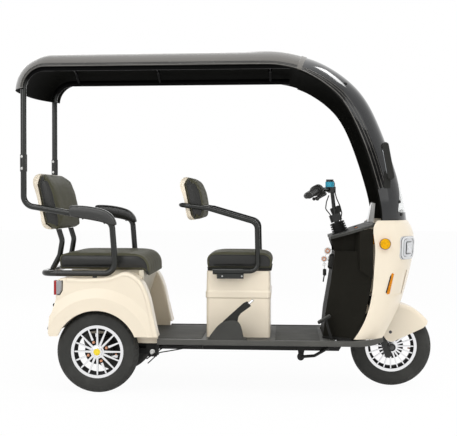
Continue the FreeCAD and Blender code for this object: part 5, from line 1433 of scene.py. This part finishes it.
def grip_parts():
    """The cable guide on the stem, rings along the grips, plugs in their ends and the pod's wire."""
    stem_foot, stem_top = ahead(-0.276, 0.0, 0.640), ahead(-0.330, 0.0, 0.770)
    rise = (stem_top - stem_foot).normalized()
    fore = Vector((rise.z, 0, -rise.x))
    face = plane(stem_foot.lerp(stem_top, 0.30) - fore * 0.006 + RIGHT * 0.024, fore, rise, LEFT)
    guide = slab(rounded_square(0.027, 0.019, 0.006, 4), face, 0.048, 0.003)
    piece("stem_guide", guide, black_plastic, "steering")
    rings = [hoop(0.0174, 0.0010, grip_end + grip_run * (0.010 + grip_pitch * k), grip_run, 28, 6)
             for k in range(grip_rings)]
    piece("grip_rings", both(*rings), foam_rubber, "steering")
    end = grip_end - grip_run * 0.004
    caps = [hoop(0.0125, 0.0022, end, grip_run, 32, 8), plug(end, -grip_run, 0.0060, 0.002)]
    piece("grip_ends", both(*caps), black_plastic, "steering")
    pod = middle("switch_pod") + Vector((0.016, 0.0, 0.006))
    turns = [2 * math.pi * k / 24 for k in range(24)]
    loop = [pod + Vector((0.010 * math.cos(a), 0.0, 0.020 * math.sin(a))) for a in turns]
    piece("pod_wire", sweep(loop, 0.0018, 8, closed=True), black_plastic, "steering")


pedal_y = -0.276
rib_count = 7
rib_pitch = 0.0093
rib_half = 0.019


def pedal_parts():
    """The foot pedal's ribbed rubber, and the handbrake's button cap."""
    centre, run, out = slope(ahead(-0.403, pedal_y, 0.090), ahead(-0.338, pedal_y, 0.130))
    face = plane(centre - out * 0.0004, run, LEFT, out)
    cover = [slab(rounded_square(0.037, 0.0235, 0.006, 4), face, 0.004, 0.001)]
    for k in range(rib_count):
        at = centre + run * (-0.028 + rib_pitch * k) + out * 0.0036
        cover.append(sweep([at + RIGHT * rib_half, at, at + LEFT * rib_half], 0.0020, 8))
    piece("pedal_rubber", merge(cover), mat_rubber)
    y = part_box("handbrake_lever")[0].y + 0.010
    foot, button = Vector((0.1490, y, 0.4705)), Vector((0.1712, y, 0.4890))
    cap = lathe([(0.0, 0.0066), (0.022, 0.0066), (0.0285, 0.0062), (0.0300, 0.0045), (0.0302, tip)], foot,
                button - foot, 24)
    piece("handbrake_button", cap, chrome)


def small_parts():
    roof_parts()
    rear_frame_bolts()
    headlamp_parts()
    round_lamp_parts()
    turn_lamp_parts()
    tail_parts()
    mirror_parts()
    display_parts()
    lock_parts()
    shield_parts()
    grip_parts()
    pedal_parts()


# Camera, floor and light
camera_place = Vector((0.3362, -6.0602, 1.0105))
camera_turn = math.radians(5.33)
camera_dip = math.radians(0.941)
camera_lens = 86.34
camera_shift = 0.10
floor_half = 30.0
floor_tone = 0.94
floor_glow = 0.96
world_light = 0.56


def camera():
    """The camera at the photograph's place, a little right of the vehicle's middle."""
    data = bpy.data.cameras.new("camera")
    data.sensor_fit = "HORIZONTAL"
    data.sensor_width = 36.0
    data.lens = camera_lens
    data.shift_x = camera_shift
    made = bpy.data.objects.new("camera", data)
    bpy.context.scene.collection.objects.link(made)
    level = math.cos(camera_dip)
    look = Vector((-math.sin(camera_turn) * level, math.cos(camera_turn) * level, -math.sin(camera_dip)))
    made.location = camera_place
    made.rotation_euler = look.to_track_quat("-Z", "Y").to_euler()
    bpy.context.scene.camera = made


def seen_share(tree):
    """1 for the rays that see the background itself, 0 for the rays that light the object."""
    path = tree.nodes.new("ShaderNodeLightPath")
    value = path.outputs["Is Camera Ray"]
    for ray in ("Is Glossy Ray", "Is Transmission Ray"):
        larger = tree.nodes.new("ShaderNodeMath")
        larger.operation = "MAXIMUM"
        tree.links.new(value, larger.inputs[0])
        tree.links.new(path.outputs[ray], larger.inputs[1])
        value = larger.outputs["Value"]
    return value


def mixed(tree, share, first, second, socket):
    """Mix two shaders by a share, into the socket of the tree's output."""
    mix = tree.nodes.new("ShaderNodeMixShader")
    tree.links.new(share, mix.inputs["Fac"])
    tree.links.new(first, mix.inputs[1])
    tree.links.new(second, mix.inputs[2])
    tree.links.new(mix.outputs["Shader"], socket)


def backdrop():
    """A pale floor that shows white and keeps the soft shadow, under a white world."""
    material = bpy.data.materials.new("floor_white")
    material.use_nodes = True
    tree = material.node_tree
    shader = tree.nodes["Principled BSDF"]
    shader.inputs["Base Color"].default_value = (floor_tone, floor_tone, floor_tone, 1.0)
    shader.inputs["Roughness"].default_value = 0.9
    glow = tree.nodes.new("ShaderNodeEmission")
    share = tree.nodes.new("ShaderNodeMath")
    share.operation = "MULTIPLY"
    share.inputs[1].default_value = floor_glow
    tree.links.new(seen_share(tree), share.inputs[0])
    mixed(tree, share.outputs["Value"], shader.outputs["BSDF"], glow.outputs["Emission"],
          tree.nodes["Material Output"].inputs["Surface"])
    corners = [(x * floor_half, y * floor_half, 0) for x, y in ((-1, -1), (1, -1), (1, 1), (-1, 1))]
    mesh = bpy.data.meshes.new("floor")
    mesh.from_pydata(corners, [], [(0, 1, 2, 3)])
    mesh.materials.append(material)
    floor = bpy.data.objects.new("floor", mesh)
    bpy.context.scene.collection.objects.link(floor)


def world():
    """A white surround to the camera, in reflections and through glass, and softer as light."""
    made = bpy.data.worlds.new("studio")
    bpy.context.scene.world = made
    made.use_nodes = True
    tree = made.node_tree
    soft = tree.nodes["Background"]
    white = tree.nodes.new("ShaderNodeBackground")
    for background, strength in ((soft, world_light), (white, 1.0)):
        background.inputs["Color"].default_value = (1.0, 1.0, 1.0, 1.0)
        background.inputs["Strength"].default_value = strength
    mixed(tree, seen_share(tree), soft.outputs["Background"], white.outputs["Background"],
          tree.nodes["World Output"].inputs["Surface"])


def lamp(name, place, target, size, power):
    """A soft rectangular lamp."""
    data = bpy.data.lights.new(name, "AREA")
    data.shape = "RECTANGLE"
    data.size, data.size_y = size
    data.energy = power
    made = bpy.data.objects.new(name, data)
    bpy.context.scene.collection.objects.link(made)
    made.location = place
    made.rotation_euler = (Vector(target) - Vector(place)).to_track_quat("-Z", "Y").to_euler()


def lamps():
    lamp("top_lamp", (0.2, -1.2, 4.6), (0, 0, 0.8), (4.5, 3.0), 74)
    lamp("side_lamp", (-2.6, -4.8, 2.6), (0, 0, 0.8), (3.0, 2.4), 46)
    lamp("front_lamp", (4.4, -2.4, 2.2), (0.4, 0, 0.9), (2.4, 2.4), 18)
    lamp("far_lamp", (-1.5, 4.6, 2.8), (0, 0, 0.8), (3.0, 2.4), 36)
    lamp("strip_lamp", (0.2, -3.6, 4.4), (0, 0, 1.0), (4.5, 0.20), 28)
    lamp("spot_lamp", (2.6, -3.0, 4.0), (0.6, -0.3, 1.5), (0.45, 0.45), 20)
    lamp("rim_lamp", (2.6, 1.7, 4.5), (0.7, -0.3, 1.6), (2.0, 0.4), 24)


finish_nodes()
wheels()
seats()
small_parts()
camera()
backdrop()
world()
lamps()
bpy.context.scene.view_settings.view_transform = "Standard"
